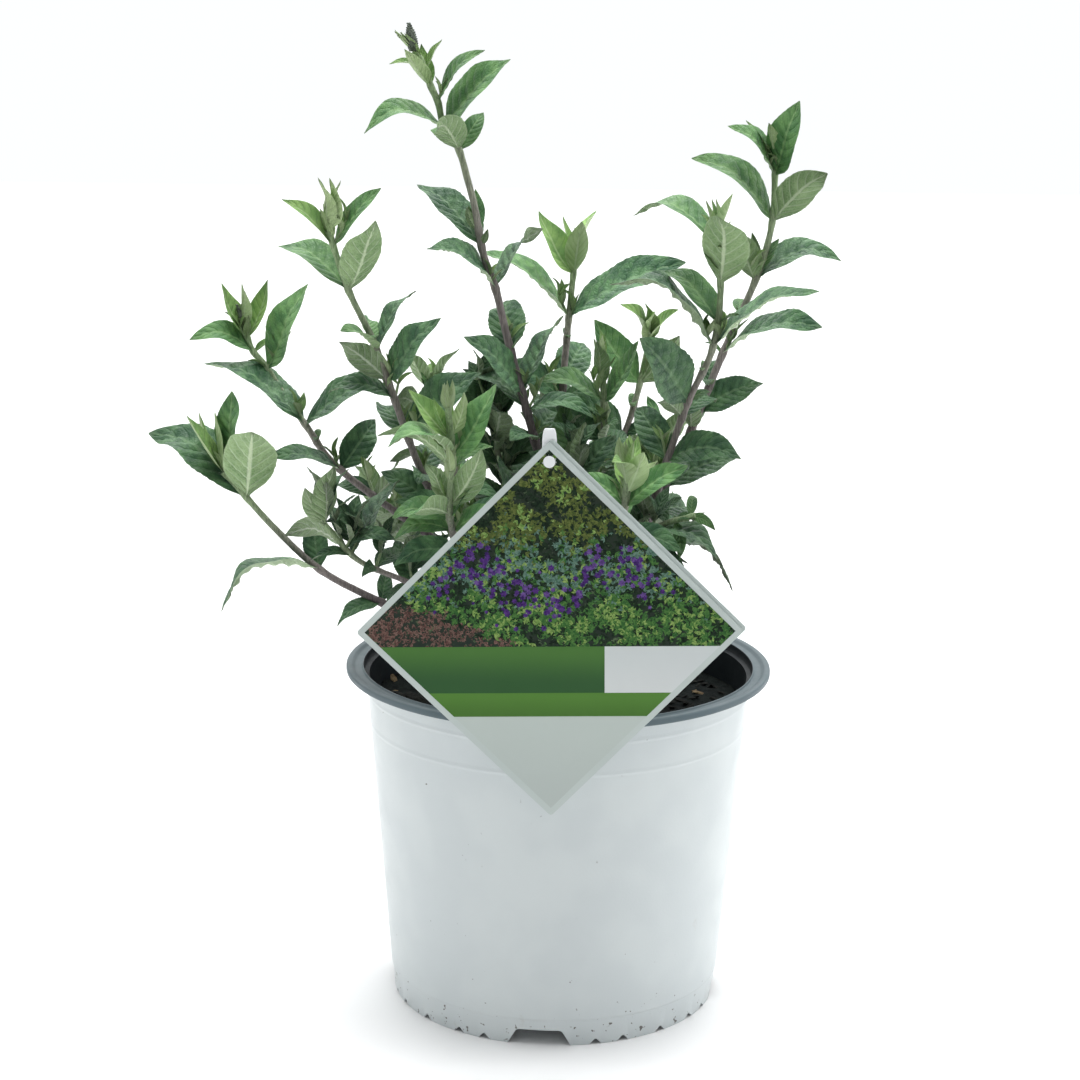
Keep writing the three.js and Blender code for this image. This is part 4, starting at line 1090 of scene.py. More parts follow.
class Blades:
    """Many leaves gathered as arrays, to be joined as one mesh."""

    _patterns: dict[tuple[int, int], tuple[np.ndarray, ...]] = {}

    def __init__(self, seed: int) -> None:
        """Start with no leaves.

        Args:
            seed: the whole number that starts the variety of their bends.
        """
        self.random = np.random.default_rng(seed)
        self.points: list[np.ndarray] = []
        self.faces: list[np.ndarray] = []
        self.slots: list[np.ndarray] = []
        self.maps: list[np.ndarray] = []
        self.tones: list[np.ndarray] = []
        self.rims: list[np.ndarray] = []
        self.finishes: list[str] = []
        self.count = 0

    @classmethod
    def _pattern(cls, rows: int, columns: int) -> tuple[np.ndarray, ...]:
        """Return which points the faces of a leaf join, above and below, and which points are its rim."""
        if (rows, columns) not in cls._patterns:
            top = np.arange((rows + 1) * columns).reshape(rows + 1, columns)
            under = top.copy()
            inner = (rows - 1) * (columns - 2)
            under[1:-1, 1:-1] = top.size + np.arange(inner).reshape(rows - 1, columns - 2)
            halves = []
            for grid in (top, under):
                here, next_row = (grid[:-1, :-1], grid[:-1, 1:]), (grid[1:, :-1], grid[1:, 1:])
                first = np.stack([here[0], next_row[0], next_row[1]], axis=-1)
                second = np.stack([here[0], next_row[1], here[1]], axis=-1)
                halves.append(np.concatenate([first.reshape(-1, 3), second.reshape(-1, 3)]))
            rim = np.zeros(top.size + inner, bool)
            rim[np.concatenate([top[:, 0], top[:, -1], top[0], top[-1]])] = True
            cls._patterns[rows, columns] = (halves[0], halves[1][:, ::-1], rim)
        return cls._patterns[rows, columns]

    def _slot(self, finish: str) -> int:
        """Return the face slot of a finish, adding it where it is new."""
        if finish not in self.finishes:
            self.finishes.append(finish)
        return self.finishes.index(finish)

    def add(self, leaf: Leaf) -> None:
        """Work out one leaf and add it.

        Args:
            leaf: where and how it grows.
        """
        form, rand = leaf.kind.value, self.random
        v = np.array(form.columns)[None, :]
        u = (np.arange(form.rows + 1) / form.rows)[:, None]
        chord, above, side, face = leaf.axes()
        # the middle line: arched, curled down towards the tip and swayed to one side
        bend = leaf.arch * leaf.length * 4 * u * (1 - u)
        droop = eased(u, 0.55, 1.15) - u * eased(1.0, 0.55, 1.15)
        curl = rand.normal(*form.curl) * leaf.length * droop * 1.2
        sway = rand.normal(0, form.sway) * leaf.length * (u**2 - u)
        middle = leaf.root + chord * u * leaf.length + above * bend - face * curl + side * sway
        # the blade turns about that line, most of all near its tip
        tangent = unit(np.gradient(middle, axis=0))
        twist = math.radians(rand.normal(0, form.twist)) * eased(u[:, 0], 0.2, 1.0)
        twist = twist + math.radians(rand.normal(0, form.tip_roll)) * eased(u[:, 0], 0.6, 1.0)
        across = unit(side - tangent * (tangent @ side)[:, None])
        across = turned(across, tangent, twist)
        out = np.cross(tangent, across)
        # half of its width, with teeth that point to the tip
        half = np.interp(u, *zip(*form.outline)) * leaf.width / 2
        if form.teeth:
            saw = (u * form.teeth) % 1.0
            half = half * (1 + form.tooth * (1 - 2 * saw) * eased(u, 0.1, 0.2) * (1 - 0.5 * u))
        # how far it lifts off: its fold, a wave of its own along each edge, and puckers between the veins
        ends = eased(u, 0.0, 0.12) * (1 - eased(u, 0.9, 1.0))
        phase = rand.uniform(0, 2 * math.pi, 2)
        swing = 2 * math.pi * form.waves * u
        ripple = np.where(v < 0, np.sin(swing + phase[0]), np.sin(swing + phase[1]))
        lift = form.fold * half * np.abs(v) + form.wave * leaf.width * ripple * v**2 * ends
        if form.pucker:
            quilt = np.abs(np.sin(math.pi * VEINS * (u - VEIN_SLANT * np.abs(v) ** VEIN_BOW)))
            lift = lift + form.pucker * leaf.width * (quilt - 0.5) * ends * (1 - v**4)
        # its thickness, with the rib standing out below
        thick = form.thickness / 2 * (1 - v**2) * eased(u, 0.0, 0.04) * (1 - eased(u, 0.96, 1.0))
        rib = form.rib * np.exp(-((v / 0.12) ** 2)) * (1 - 0.75 * u) * eased(u, 0.0, 0.05)
        flat = middle[:, None] + across[:, None] * (half * v)[..., None]
        top = flat + out[:, None] * (lift + thick - 0.25 * rib)[..., None]
        under = flat + out[:, None] * (lift - thick - rib)[..., None]
        over, below, rim = self._pattern(form.rows, v.size)
        self.points.append(np.concatenate([top.reshape(-1, 3), under[1:-1, 1:-1].reshape(-1, 3)]))
        chart = np.stack(np.broadcast_arrays((v + 1) / 2, u), axis=-1)
        self.maps.append(np.concatenate([chart.reshape(-1, 2), chart[1:-1, 1:-1].reshape(-1, 2)]))
        self.faces += [over + self.count, below + self.count]
        self.slots += [np.full(len(over), self._slot(form.top)), np.full(len(below), self._slot(form.under))]
        self.tones.append(np.full(len(rim), leaf.tone))
        self.rims.append(rim)
        self.count += len(rim)

    def mesh(self, name: str) -> bpy.types.Mesh:
        """Join every leaf as one mesh.

        Args:
            name: the mesh's name.

        Returns:
            The mesh, smooth, with its map, its tones and sharp rims.
        """
        points, faces = np.concatenate(self.points), np.concatenate(self.faces)
        mesh = bpy.data.meshes.new(name)
        mesh.from_pydata(points.tolist(), [], faces.tolist())
        mesh.polygons.foreach_set("material_index", np.concatenate(self.slots).astype(np.int32))
        mesh.shade_smooth()
        chart = mesh.uv_layers.new(name="leaf")
        corners = np.zeros(len(mesh.loops), np.int32)
        mesh.loops.foreach_get("vertex_index", corners)
        chart.data.foreach_set("uv", np.concatenate(self.maps)[corners].astype(np.float32).ravel())
        tone = mesh.attributes.new("tone", "FLOAT", "POINT")
        tone.data.foreach_set("value", np.concatenate(self.tones).astype(np.float32))
        ends = np.zeros(len(mesh.edges) * 2, np.int32)
        mesh.edges.foreach_get("vertices", ends)
        rim = np.concatenate(self.rims)[ends].reshape(-1, 2).all(axis=1)
        sharp = mesh.attributes.new("sharp_edge", "BOOLEAN", "EDGE")
        sharp.data.foreach_set("value", rim)
        return mesh


@dataclass(frozen=True)
class Tuft:
    """The young leaves that close a shoot's tip, in millimetres, degrees and shares of their length."""

    leaves: int = 8
    length: tuple[float, float] = (12, 19)
    shrink: float = 0.05
    turn: float = 97
    spread: tuple[float, float] = (6, 20)
    lift: float = 0.25
    tilt: float = 30
    width: float = 0.27
    arch: float = -0.04
    kind: LeafKind = LeafKind.YOUNG
    tone: float = 1.0


@dataclass(frozen=True)
class SideShoot:
    """A short shoot in a leaf's axil, with two pairs of leaves, in millimetres, degrees and shares."""

    least_leaf: float = 24
    left_out: float = 0.35
    reach: tuple[float, float] = (3, 11)
    lean: float = 0.55
    radii: tuple[float, float] = (0.75, 0.45)
    length: tuple[float, float] = (7, 15)
    upper_pair: float = 0.75
    growth: float = 1.0
    rise: tuple[float, float] = (35, 75)
    tilt: tuple[float, float] = (-10, 50)
    width: tuple[float, float] = (0.26, 0.34)
    breadth: float = 1.0
    arch: tuple[float, float] = (-0.02, 0.08)
    kind: LeafKind = LeafKind.YOUNG
    tone: float = 1.0


@dataclass
class Foliage:
    """Grows every shoot by the rule of the solids, then carries it on to tips, side shoots and buds."""

    bench: Bench
    slimmest: float = 0.29
    fullest: float = 0.42
    full_length: float = 42.0
    short_length: float = 16.0
    arch: float = 0.1
    arch_rise: float = 45.0
    arch_fade: float = 30.0
    arch_range: tuple[float, float] = (-0.7, 1.3)
    turn_jitter: float = 4.0
    rise_jitter: float = 3.0
    size_jitter: float = 0.04
    tilt_jitter: float = 8.0
    width_jitter: float = 0.1
    breadth: float = 1.16
    full_slimmer: float = 0.08
    arch_jitter: float = 0.3
    # shoots grown by rule: where the first node is, the rise of the lowest and the highest leaves, and
    # how much lower and shorter the second leaf of a pair is
    first_node: float = 0.9
    rises: tuple[float, float] = (8, 62)
    second_lower: float = 6
    second_shorter: float = 0.94
    # a leaf's kind follows from its place along the shoot, from 0 to 1, less so much a millimetre over
    # the usual length
    usual_length: float = 24
    older_by_length: float = 0.008
    young_from: float = 0.9
    middle_from: float = 0.6
    tone_range: float = 0.26
    tries: tuple[float, ...] = (0.0, 8.0, -8.0, 16.0, -16.0, 25.0, -25.0, 35.0, -35.0)
    # the first two lists hold younger shoots whose leaves are also painted lighter (painted light); the
    # shaded shoots are older, and their leaves painted darker (painted shade)
    fresh_with_painted_light: tuple[str, ...] = ("shoot_front_high", "shoot_front_right", "shoot_back")
    lively_with_painted_light: tuple[str, ...] = ("shoot_front_low",)
    shaded: tuple[str, ...] = (
        "shoot_inner_left", "shoot_inner_right", "shoot_rear_centre", "twig_low_left", "twig_low_right",
    )
    # leaves near the middle of the crown are painted darker, by up to this share of their tone: painted shade
    crown_middle: Place = (0.0, 0.0, 215.0)
    crown_reach: Place = (100.0, 75.0, 100.0)
    inner_painted_shade: float = 0.3
    budding: tuple[str, ...] = ("shoot_left", "shoot_right", "shoot_right_front")
    leaf_gap: float = 0.45
    stem_step: float = 2.2
    tip_radius: float = 1.35
    node_swell: float = 0.22
    node_reach: float = 2.4
    slim: float = 1.45
    bud_girth: tuple[float, ...] = (1.9, 2.6, 2.0, 0.7)
    small_bud_girth: tuple[float, ...] = (0.7, 1.2, 0.9, 0.3)
    scale_size: tuple[float, float] = (0.4, 0.55)
    tuft: Tuft = Tuft()
    # the tufts of the rule-grown inner and rear shoots and the side shoots of the shaded ones take a tone of
    # 0.8: painted shade
    inner_tuft: Tuft = Tuft(leaves=5, width=0.44, kind=LeafKind.MIDDLE, tone=0.8)
    side_shoot: SideShoot = SideShoot()
    dense_side_shoot: SideShoot = SideShoot(
        left_out=0.0, growth=1.7, breadth=1.25, kind=LeafKind.MATURE, tone=0.8
    )
    trees: dict[str, BVHTree] = field(default_factory=dict)

    def grow(self) -> None:
        """Grow all the shoots."""
        self.trees = {name: tree_of(name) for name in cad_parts}
        following = seeded_numbers(SEED)
        for number, shoot in enumerate(SHOOTS):
            spine = Spine(shoot.stem)
            leaves = self._leaves(shoot, spine, following)
            placed = [self._clear(leaf, shoot.name) for leaf in leaves]
            gone = [f"{i // 2}{'ab'[i % 2]}" for i, leaf in enumerate(placed) if leaf is None]
            if gone:
                log.info("%s: leaves left out for want of room: %s", shoot.name, " ".join(gone))
            placed = [leaf for leaf in placed if leaf]
            rand = np.random.default_rng(SEED + number)
            stems = bmesh.new()
            self._stem(shoot, spine, leaves).grow(stems, 0.12)
            extra = self._tip(shoot, spine, rand) + self._side_shoots(leaves, shoot, stems, rand)
            blades = Blades(SEED + 100 + number)
            for leaf in placed + [leaf for leaf in extra if self._clear(leaf, shoot.name, (0.0,))]:
                blades.add(leaf)
            mesh = blades.mesh(shoot.name)
            own = (shoot.name,)
            self.bench.piece(f"{shoot.name}_leaves", mesh, blades.finishes, "foliage", own)
            self.bench.from_bmesh(f"{shoot.name}_stem", stems, "stem_skin", "foliage", own, 50)
            if shoot.bud:
                self._bud(shoot, Spine(shoot.bud).evenly(1.0), self.bud_girth, rand)
            elif shoot.name in self.budding:
                onward = self._onward(spine) + (0.0, -0.25, 0.0)
                places = spine.points[-1] + onward * np.arange(1.0, 11.0)[:, None]
                self._bud(shoot, places, self.small_bud_girth, rand)

    @staticmethod
    def _onward(spine: Spine) -> np.ndarray:
        """Return the direction in which a stem ends, taken over its last millimetres."""
        return unit(spine.points[-1] - spine.points[-24])

    def _rows(self, shoot: Shoot) -> list[tuple[float, ...]]:
        """Return the rows of pairs of a shoot, worked out by rule where it has none."""
        if shoot.pairs:
            return list(shoot.pairs)
        foot, tip, rows = shoot.stem[0][2], shoot.stem[-1][2], []
        (highest, lowest), (low, high) = shoot.leaf, self.rises
        for i in range(shoot.nodes):
            up = (i + self.first_node) / shoot.nodes
            height, heading = foot + (tip - foot) * up, shoot.first_heading + 90 * i
            rise = low + (high - low) * up * up
            length = lowest + (highest - lowest) * up * up
            second = (rise - self.second_lower, length * self.second_shorter, shoot.tilt)
            rows.append((height, heading, rise, length, shoot.tilt, *second))
        return rows

    def _leaves(self, shoot: Shoot, spine: Spine, following: Callable[[], float]) -> list[Leaf]:
        """Work out every leaf of a shoot, in the order and with the variety of the solids."""
        leaves = []

        def vary(reach: float) -> float:
            return reach * (2 * following() - 1)

        for height, heading, rise, length, tilt, rise2, length2, tilt2, *extra in self._rows(shoot):
            second = heading + 180 + (extra[0] if extra else 0)
            for turn, lift, size, lean in ((heading, rise, length, tilt), (second, rise2, length2, tilt2)):
                span = size * (1 + vary(self.size_jitter))
                full = min(max((span - self.short_length) / (self.full_length - self.short_length), 0), 1)
                root, up = spine.at_height(height)
                steep = (self.arch_rise - lift) / self.arch_fade
                steep = min(max(steep, self.arch_range[0]), self.arch_range[1])
                share = self.slimmest + (self.fullest - self.slimmest) * full
                breadth = self.breadth - self.full_slimmer * full
                leaf = Leaf(
                    root=root,
                    heading=math.radians(turn + vary(self.turn_jitter)),
                    rise=math.radians(lift + vary(self.rise_jitter)),
                    tilt=math.radians(lean + vary(self.tilt_jitter)),
                    length=span,
                    width=span * share * (1 + vary(self.width_jitter)) * breadth,
                    arch=self.arch * steep * (1 + vary(self.arch_jitter)),
                    kind=self._kind(shoot, up, span),
                )
                # each leaf's tone: its shoot's painted light or shade, a lighter share that varies from leaf
                # to leaf, and painted shade towards the middle of the crown
                lighter = self.tone_range * abs(math.sin(turn * 12.9 + height * 3.7))
                inward = 1 - min(np.linalg.norm((root - self.crown_middle) / self.crown_reach), 1)
                leaf.tone = (self._youth_and_painted_light(shoot)[1] + lighter) * (1 - self.inner_painted_shade * inward)
                leaves.append(leaf)
        return leaves

    def _youth_and_painted_light(self, shoot: Shoot) -> tuple[float, float]:
        """Return how much younger than usual a shoot's leaves are, and how light the darkest of them are
        painted: painted light on the younger listed shoots, painted shade on the inner and rear ones.
        """
        if shoot.name in self.fresh_with_painted_light:
            return 0.2, 1.06
        if shoot.name in self.lively_with_painted_light:
            return 0.06, 1.0
        if shoot.name in self.shaded:
            return -0.25, 0.68
        return (-0.12, 0.8) if shoot.nodes else (0.0, 0.88)

    def _kind(self, shoot: Shoot, up: float, span: float) -> LeafKind:
        """Return the kind of a leaf from its place along the shoot and its length."""
        age = up - self.older_by_length * (span - self.usual_length) + self._youth_and_painted_light(shoot)[0]
        if age > self.young_from:
            return LeafKind.YOUNG
        return LeafKind.MIDDLE if age > self.middle_from else LeafKind.MATURE

    def _clear(self, leaf: Leaf, own: str, tries: tuple[float, ...] | None = None) -> Leaf | None:
        """Turn a leaf aside until it keeps clear of every other node.

        Args:
            leaf: the leaf.
            own: the node it belongs to.
            tries: the turns aside that are tried, in degrees.

        Returns:
            The leaf, or None where no turn is clear.
        """
        heading = leaf.heading
        for aside in tries or self.tries:
            leaf.heading = heading + math.radians(aside)
            tree = leaf.plain(self.leaf_gap)
            if not any(tree.overlap(other) for name, other in self.trees.items() if name != own):
                return leaf
        return None

    def _stem(self, shoot: Shoot, spine: Spine, leaves: list[Leaf]) -> Limb:
        """Return the stem of a shoot, a little swollen at each node."""
        places = spine.evenly(self.stem_step)
        share = np.linspace(0, 1, len(places))
        radii = shoot.radius + (min(self.tip_radius, 0.85 * shoot.radius) - shoot.radius) * share
        for leaf in leaves[::2]:
            near = np.linalg.norm(places - leaf.root, axis=1)
            radii = radii * (1 + self.node_swell * np.exp(-((near / self.node_reach) ** 2)))
        return Limb(places, radii, share)

    def _tip(self, shoot: Shoot, spine: Spine, rand: Rand) -> list[Leaf]:
        """Return the tuft of young leaves that closes a shoot's tip."""
        if shoot.radius < self.slim:
            return []
        tuft = self.inner_tuft if shoot.nodes else self.tuft
        start = rand.uniform(0, 360)
        onward = self._onward(spine)
        made = []
        for k in range(tuft.leaves):
            length = rand.uniform(*tuft.length) * (1 - tuft.shrink * k)
            out = math.radians(start + tuft.turn * k)
            spread = math.tan(math.radians(rand.uniform(*tuft.spread)))
            along = unit(onward + np.array([math.cos(out), math.sin(out), 0.0]) * spread + UP * tuft.lift)
            made.append(
                Leaf(
                    root=spine.points[-1] - onward * (6 - k),
                    heading=math.atan2(along[1], along[0]),
                    rise=math.asin(along[2]),
                    tilt=math.radians(rand.uniform(-tuft.tilt, tuft.tilt)),
                    length=length,
                    width=length * tuft.width,
                    arch=tuft.arch,
                    kind=tuft.kind,
                    tone=rand.uniform(0.85, 1.15) * tuft.tone,
                )
            )
        return made

    def _side_shoots(self, leaves: list[Leaf], shoot: Shoot, stems: BMesh, rand: Rand) -> list[Leaf]:
        """Grow small side shoots in the axils of the larger leaves.

        Args:
            leaves: the leaves of the shoot.
            shoot: the shoot.
            stems: the bmesh that takes their thin stems.
            rand: the generator for their variety.

        Returns:
            Their leaves.
        """
        made = []
        side = self.dense_side_shoot if shoot.name in self.shaded else self.side_shoot
        for leaf in leaves:
            young = leaf.length < side.least_leaf or leaf.kind is LeafKind.YOUNG
            if young or rand.random() < side.left_out:
                continue
            level = np.array([math.cos(leaf.heading), math.sin(leaf.heading), 0.0])
            reach = rand.uniform(*side.reach)
            foot = leaf.root + level * shoot.radius * 0.3 + UP * 1.0
            tip = foot + (level * side.lean + UP) * reach
            share = np.linspace(0, 1, 5)[:, None]
            places = foot + (tip - foot) * share + UP * 0.8 * share**2
            Limb(places, np.linspace(*side.radii, 5), np.full(5, 0.9), 6).grow(stems, 0.03)
            for k in range(4):
                upper = k > 1
                length = rand.uniform(*side.length) * (side.upper_pair if upper else 1.0) * side.growth
                turn = 180 * k + rand.uniform(-25, 25) if upper else 90 + 180 * k
                made.append(
                    Leaf(
                        root=places[4 if upper else 2],
                        heading=leaf.heading + math.radians(turn),
                        rise=math.radians(rand.uniform(*side.rise)),
                        tilt=math.radians(rand.uniform(*side.tilt)),
                        length=length,
                        width=length * rand.uniform(*side.width) * side.breadth,
                        arch=rand.uniform(*side.arch),
                        kind=side.kind,
                        tone=rand.uniform(0.75, 1.05) * side.tone,
                    )
                )
        return made

    def _bud(self, shoot: Shoot, places: np.ndarray, girth: tuple[float, ...], rand: Rand) -> None:
        """Add the dark flower bud at the tip of a shoot: a cone packed with small round buds.

        Args:
            shoot: the shoot.
            places: the middle of the bud, from its foot to its tip.
            girth: its radius at its foot, at a quarter and two thirds of its length and at its tip.
            rand: the generator for its variety.
        """
        bm = bmesh.new()
        bm.verts.layers.float.new("age")
        radii = np.interp(np.linspace(0, 1, len(places)), [0, 0.25, 0.65, 1], girth)
        Limb(places, radii, np.ones(len(places)), 10).grow(bm, 0.1)
        for i, (place, radius) in enumerate(zip(places, radii)):
            around = max(3, round(radius * 3.5))
            for k in range(around):
                angle = k * 2 * math.pi / around + i * 0.8
                out = np.array([math.cos(angle), math.sin(angle), 0.15])
                spot = place + out * radius * 0.9
                size = rand.uniform(*self.scale_size)
                turn = Vector(out).to_track_quat("Z", "Y").to_matrix().to_4x4()
                matrix = Matrix.Translation(spot) @ turn @ Matrix.Diagonal((size, size, size * 1.35, 1))
                bmesh.ops.create_icosphere(bm, subdivisions=1, radius=1.0, matrix=matrix)
        self.bench.from_bmesh(f"{shoot.name}_bud", bm, "bud_skin", "foliage", (shoot.name,), 60)


# ------------------------------------------------------------------------------------ woody frame


@dataclass
class Wood:
    """The short crown of the plant and the bare boughs that rise from it."""

    bench: Bench
    base_radius: float = 2.7
    tip_radius: float = 2.1
    crown_at: tuple[float, float] = (-2.0, 1.0)
    crown_foot: float = 143.5
    crown_top: float = 172.3
    crown_radii: tuple[tuple[float, float], ...] = (
        (0.0, 11.5), (0.14, 9.9), (0.5, 8.9), (0.8, 8.5), (0.93, 7.0), (1.0, 5.2),
    )
    crown_rings: int = 18
    crown_relief: float = 1.3
    stub_count: int = 4
    stub_radii: tuple[float, float] = (2.4, 1.9)
    stub_drop: float = 9.0
    joints: float = 3.2
    joint_swell: float = 0.16

    def grow(self) -> None:
        """Add the crown and the boughs."""
        heights = np.linspace(0, 1, self.crown_rings)
        level = np.broadcast_to(self.crown_at, (self.crown_rings, 2))
        places = np.column_stack([level, self.crown_foot + heights * (self.crown_top - self.crown_foot)])
        radii = np.interp(heights, *zip(*self.crown_radii))
        crown = bmesh.new()
        Limb(places, radii, heights * 0.2, 28).grow(crown, self.crown_relief, 0.28)
        rand = np.random.default_rng(SEED + 7)
        foot = np.array([*self.crown_at, self.crown_top - self.stub_drop])
        for k in range(self.stub_count):
            angle = k * 2 * math.pi / self.stub_count + 0.6
            out = np.array([math.cos(angle), math.sin(angle), 0.9])
            places = foot + out * np.linspace(4, 10 + 2 * rand.random(), 6)[:, None]
            Limb(places, np.linspace(*self.stub_radii, 6), np.zeros(6), 12).grow(crown, 0.3)
        self.bench.from_bmesh("crown_wood", crown, "bark", "bark", ("crown_stem",), 50)
        for name, bough in BOUGHS.items():
            along = Spine(bough).evenly(1.8)
            share = np.linspace(0, 1, len(along))
            radii = self.base_radius + (self.tip_radius - self.base_radius) * share
            from_joint = ((share * self.joints) % 1.0 - 0.5) / 0.09
            radii = radii * (1 + self.joint_swell * np.exp(-(from_joint**2)))
            bm = bmesh.new()
            Limb(along, radii, share, 14).grow(bm, 0.4, 0.6)
            self.bench.from_bmesh(f"{name}_bark", bm, "bark", "bark", (name,), 50)


# ------------------------------------------------------------------------------------ pot and mix


@dataclass
class Pot:
    """The thin-walled nursery pot."""

    bench: Bench
    height: float = 161.0
    rim_radius: float = 100.0
    rim_inner: float = 91.6
    lip_depth: float = 3.0
    groove: float = 1.4
    top_radius: float = 90.6
    foot_radius: float = 77.5
    wall: float = 1.4
    band: float = 12.5
    step: float = 0.5
    pad_radius: float = 52.0
    pad_slope: float = 3.0
    skirt: float = 2.5
    skirt_inset: float = 2.0
    channel: float = 8.0
    edge: float = 0.9
    rings: tuple[float, ...] = (133.5, 148.5)
    ring_step: float = 0.22
    first_notch: float = -95.2
    wide_notch: tuple[float, float, float] = (29.0, 21.5, 7.6)
    small_notch: tuple[float, float, float] = (6.0, 1.4, 2.6)
    small_offsets: tuple[float, ...] = (19.5, 29.5, 45.0, 60.5, 70.5)
    drain_ring: float = 63.0
    drain_radius: float = 5.0
    steps: int = 240

    def wall_radius(self, z: float) -> float:
        """Return the outer radius of the wall at a height."""
        return self.foot_radius + (self.top_radius - self.foot_radius) * z / (self.height - self.lip_depth)

    def profile(self) -> list[tuple[float, float]]:
        """Return the profile from the middle of the underside, up outside and down inside."""
        top, e, inner, rim = self.height, self.edge, self.rim_inner, self.rim_radius
        lip = top - self.lip_depth
        ledge, floor, pad = lip - self.wall, self.channel + self.wall, self.pad_radius
        slope, skirt = pad + self.pad_slope, self.foot_radius - self.skirt_inset
        foot, ridge, groove = self.foot_radius - self.step, rim - 3 * e, top - self.groove
        at, band = self.wall_radius, self.band
        # the pad, the channel and the skirt of the underside
        points = [(0, 0), (pad - 0.8, 0), (pad, 0.4), (slope, self.channel - 0.5)]
        points += [(slope + 0.6, self.channel), (skirt - self.skirt, self.channel)]
        points += [(skirt, 0.4), (skirt + 0.3, 0)]
        # the foot, the step above it and the wall with its two rings
        points += [(foot - 0.3, 0), (foot, 0.4), (at(band) - self.step, band - 0.1)]
        points += [(at(band) - self.step * 0.3, band + 0.15), (at(band) + 0.02, band + 0.6)]
        points += [(at(band + 1.4), band + 1.4)]
        points += [(at(z), z) for z in np.arange(24, 128, 13)]
        for ring in self.rings:
            points += [(at(ring - low), ring - low) for low in (1.3, 0.7)]
            points += [(at(ring) + self.ring_step, ring + high) for high in (-0.2, 0.5)]
            points += [(at(ring + high), ring + high) for high in (1.4, 2.2)]
        points += [(at(z), z) for z in (ledge - self.wall - 1, ledge - self.wall)]
        # the rolled rim with the groove in its top
        points += [(inner + self.wall - 0.5, lip - 0.45), (inner + self.wall + 0.3, lip)]
        points += [(rim - 0.9, lip + 0.02)]
        under, over = np.linspace(0.3, math.pi / 2, 5), np.linspace(0, math.pi / 2, 6)
        points += [(rim - e + e * math.sin(a), lip + e - e * math.cos(a)) for a in under]
        points += [(rim - e + e * math.cos(a), top - e + e * math.sin(a)) for a in over]
        points += [(ridge + 0.3, top), (ridge - 0.4, top - 0.35)]
        points += [(ridge - self.groove + 0.3, groove + 0.3), (ridge - self.groove - 0.5, groove)]
        points += [(inner + e + 0.5, groove), (inner + e, groove + 0.25), (inner + e * 0.75, top - 0.55)]
        points += [(inner + 0.35, top - 0.4), (inner + 0.05, top - 0.65)]
        # the inside, down to the floor
        points += [(inner, top - 1.1), (inner, ledge + e), (inner - 0.5, ledge + 0.2)]
        points += [(at(ledge) - self.wall, ledge - 0.2)]
        points += [(at(z) - self.wall, z) for z in (140, 110, 70, 30, floor)]
        return points + [(slope - self.wall, floor), (pad - self.wall, self.wall), (0, self.wall)]

    def _notches(self) -> BMesh:
        """Return the cutters of the foot's arches and of the drain holes."""
        bm = bmesh.new()
        for quarter in range(4):
            middle = self.first_notch + 90 * quarter
            self._arch(bm, self.wide_notch, middle)
            for offset in self.small_offsets:
                self._arch(bm, self.small_notch, middle + offset)
            turn = Matrix.Rotation(math.radians(middle), 4, "Z")
            rod(bm, self.drain_radius, 8, 24, turn @ Matrix.Translation((self.drain_ring, 0, self.channel)))
        bmesh.ops.recalc_face_normals(bm, faces=bm.faces)
        return bm

    def _arch(self, bm: BMesh, shape: tuple[float, float, float], angle: float) -> None:
        """Add one arch, cut outwards through the skirt at an angle, with rounded shoulders."""
        mouth, top, height = shape
        inner = self.foot_radius - 6
        half = [(mouth / 2 + 1, -1), (mouth / 2, 0), (top / 2 + (mouth - top) * 0.1, height * 0.72)]
        half += [(top / 2 - 0.03 * height, height * 0.93), (max(top / 2 - 0.2 * height, 0.1), height)]
        outline = half + [(-y, z) for y, z in reversed(half)]
        face = bm.faces.new([bm.verts.new((inner, y, z)) for y, z in outline])
        verts = new_verts(bmesh.ops.extrude_face_region(bm, geom=[face]))
        bmesh.ops.translate(bm, verts=verts, vec=(12, 0, 0))
        turn = Matrix.Rotation(math.radians(angle), 3, "Z")
        bmesh.ops.rotate(bm, verts=verts + list(face.verts), cent=(0, 0, 0), matrix=turn)

    def _field(self, face: bpy.types.MeshPolygon) -> int:
        """Return the face slot of a face: white outside, grey rim, its inner ridge in a lighter grey as a
        painted highlight, or black inside.
        """
        place, ledge = face.center, self.height - self.lip_depth - self.wall
        radius, z = math.hypot(place.x, place.y), place.z
        outward = (face.normal.x * place.x + face.normal.y * place.y) / max(radius, 1e-6)
        if z > ledge - 0.1 and radius > self.rim_inner - 0.3:
            if radius < self.rim_inner + 0.2:
                return 3
            # the band of the inner ridge takes the lighter grey: a painted highlight
            return 2 if radius < self.rim_inner + self.edge + 0.2 else 1
        outside = radius > max(self.wall_radius(z) - 0.8, self.foot_radius - 4)
        if outside and outward > (0.3 if z > ledge - 5 else -0.3):
            return 0
        return 3 if z > self.channel + 0.6 else 0

    def build(self) -> None:
        """Add the pot."""
        mesh = cut(mesh_of("pot_blank", lathe(self.profile(), self.steps)), self._notches())
        for face in mesh.polygons:
            face.material_index = self._field(face)
        mesh.shade_smooth()
        mesh.set_sharp_from_angle(angle=math.radians(42))
        finishes = ["pot_white", "pot_grey", "pot_ridge_painted_highlight", "pot_black"]
        self.bench.piece("pot_shell", mesh, finishes, "pot_plastic", ("pot",))


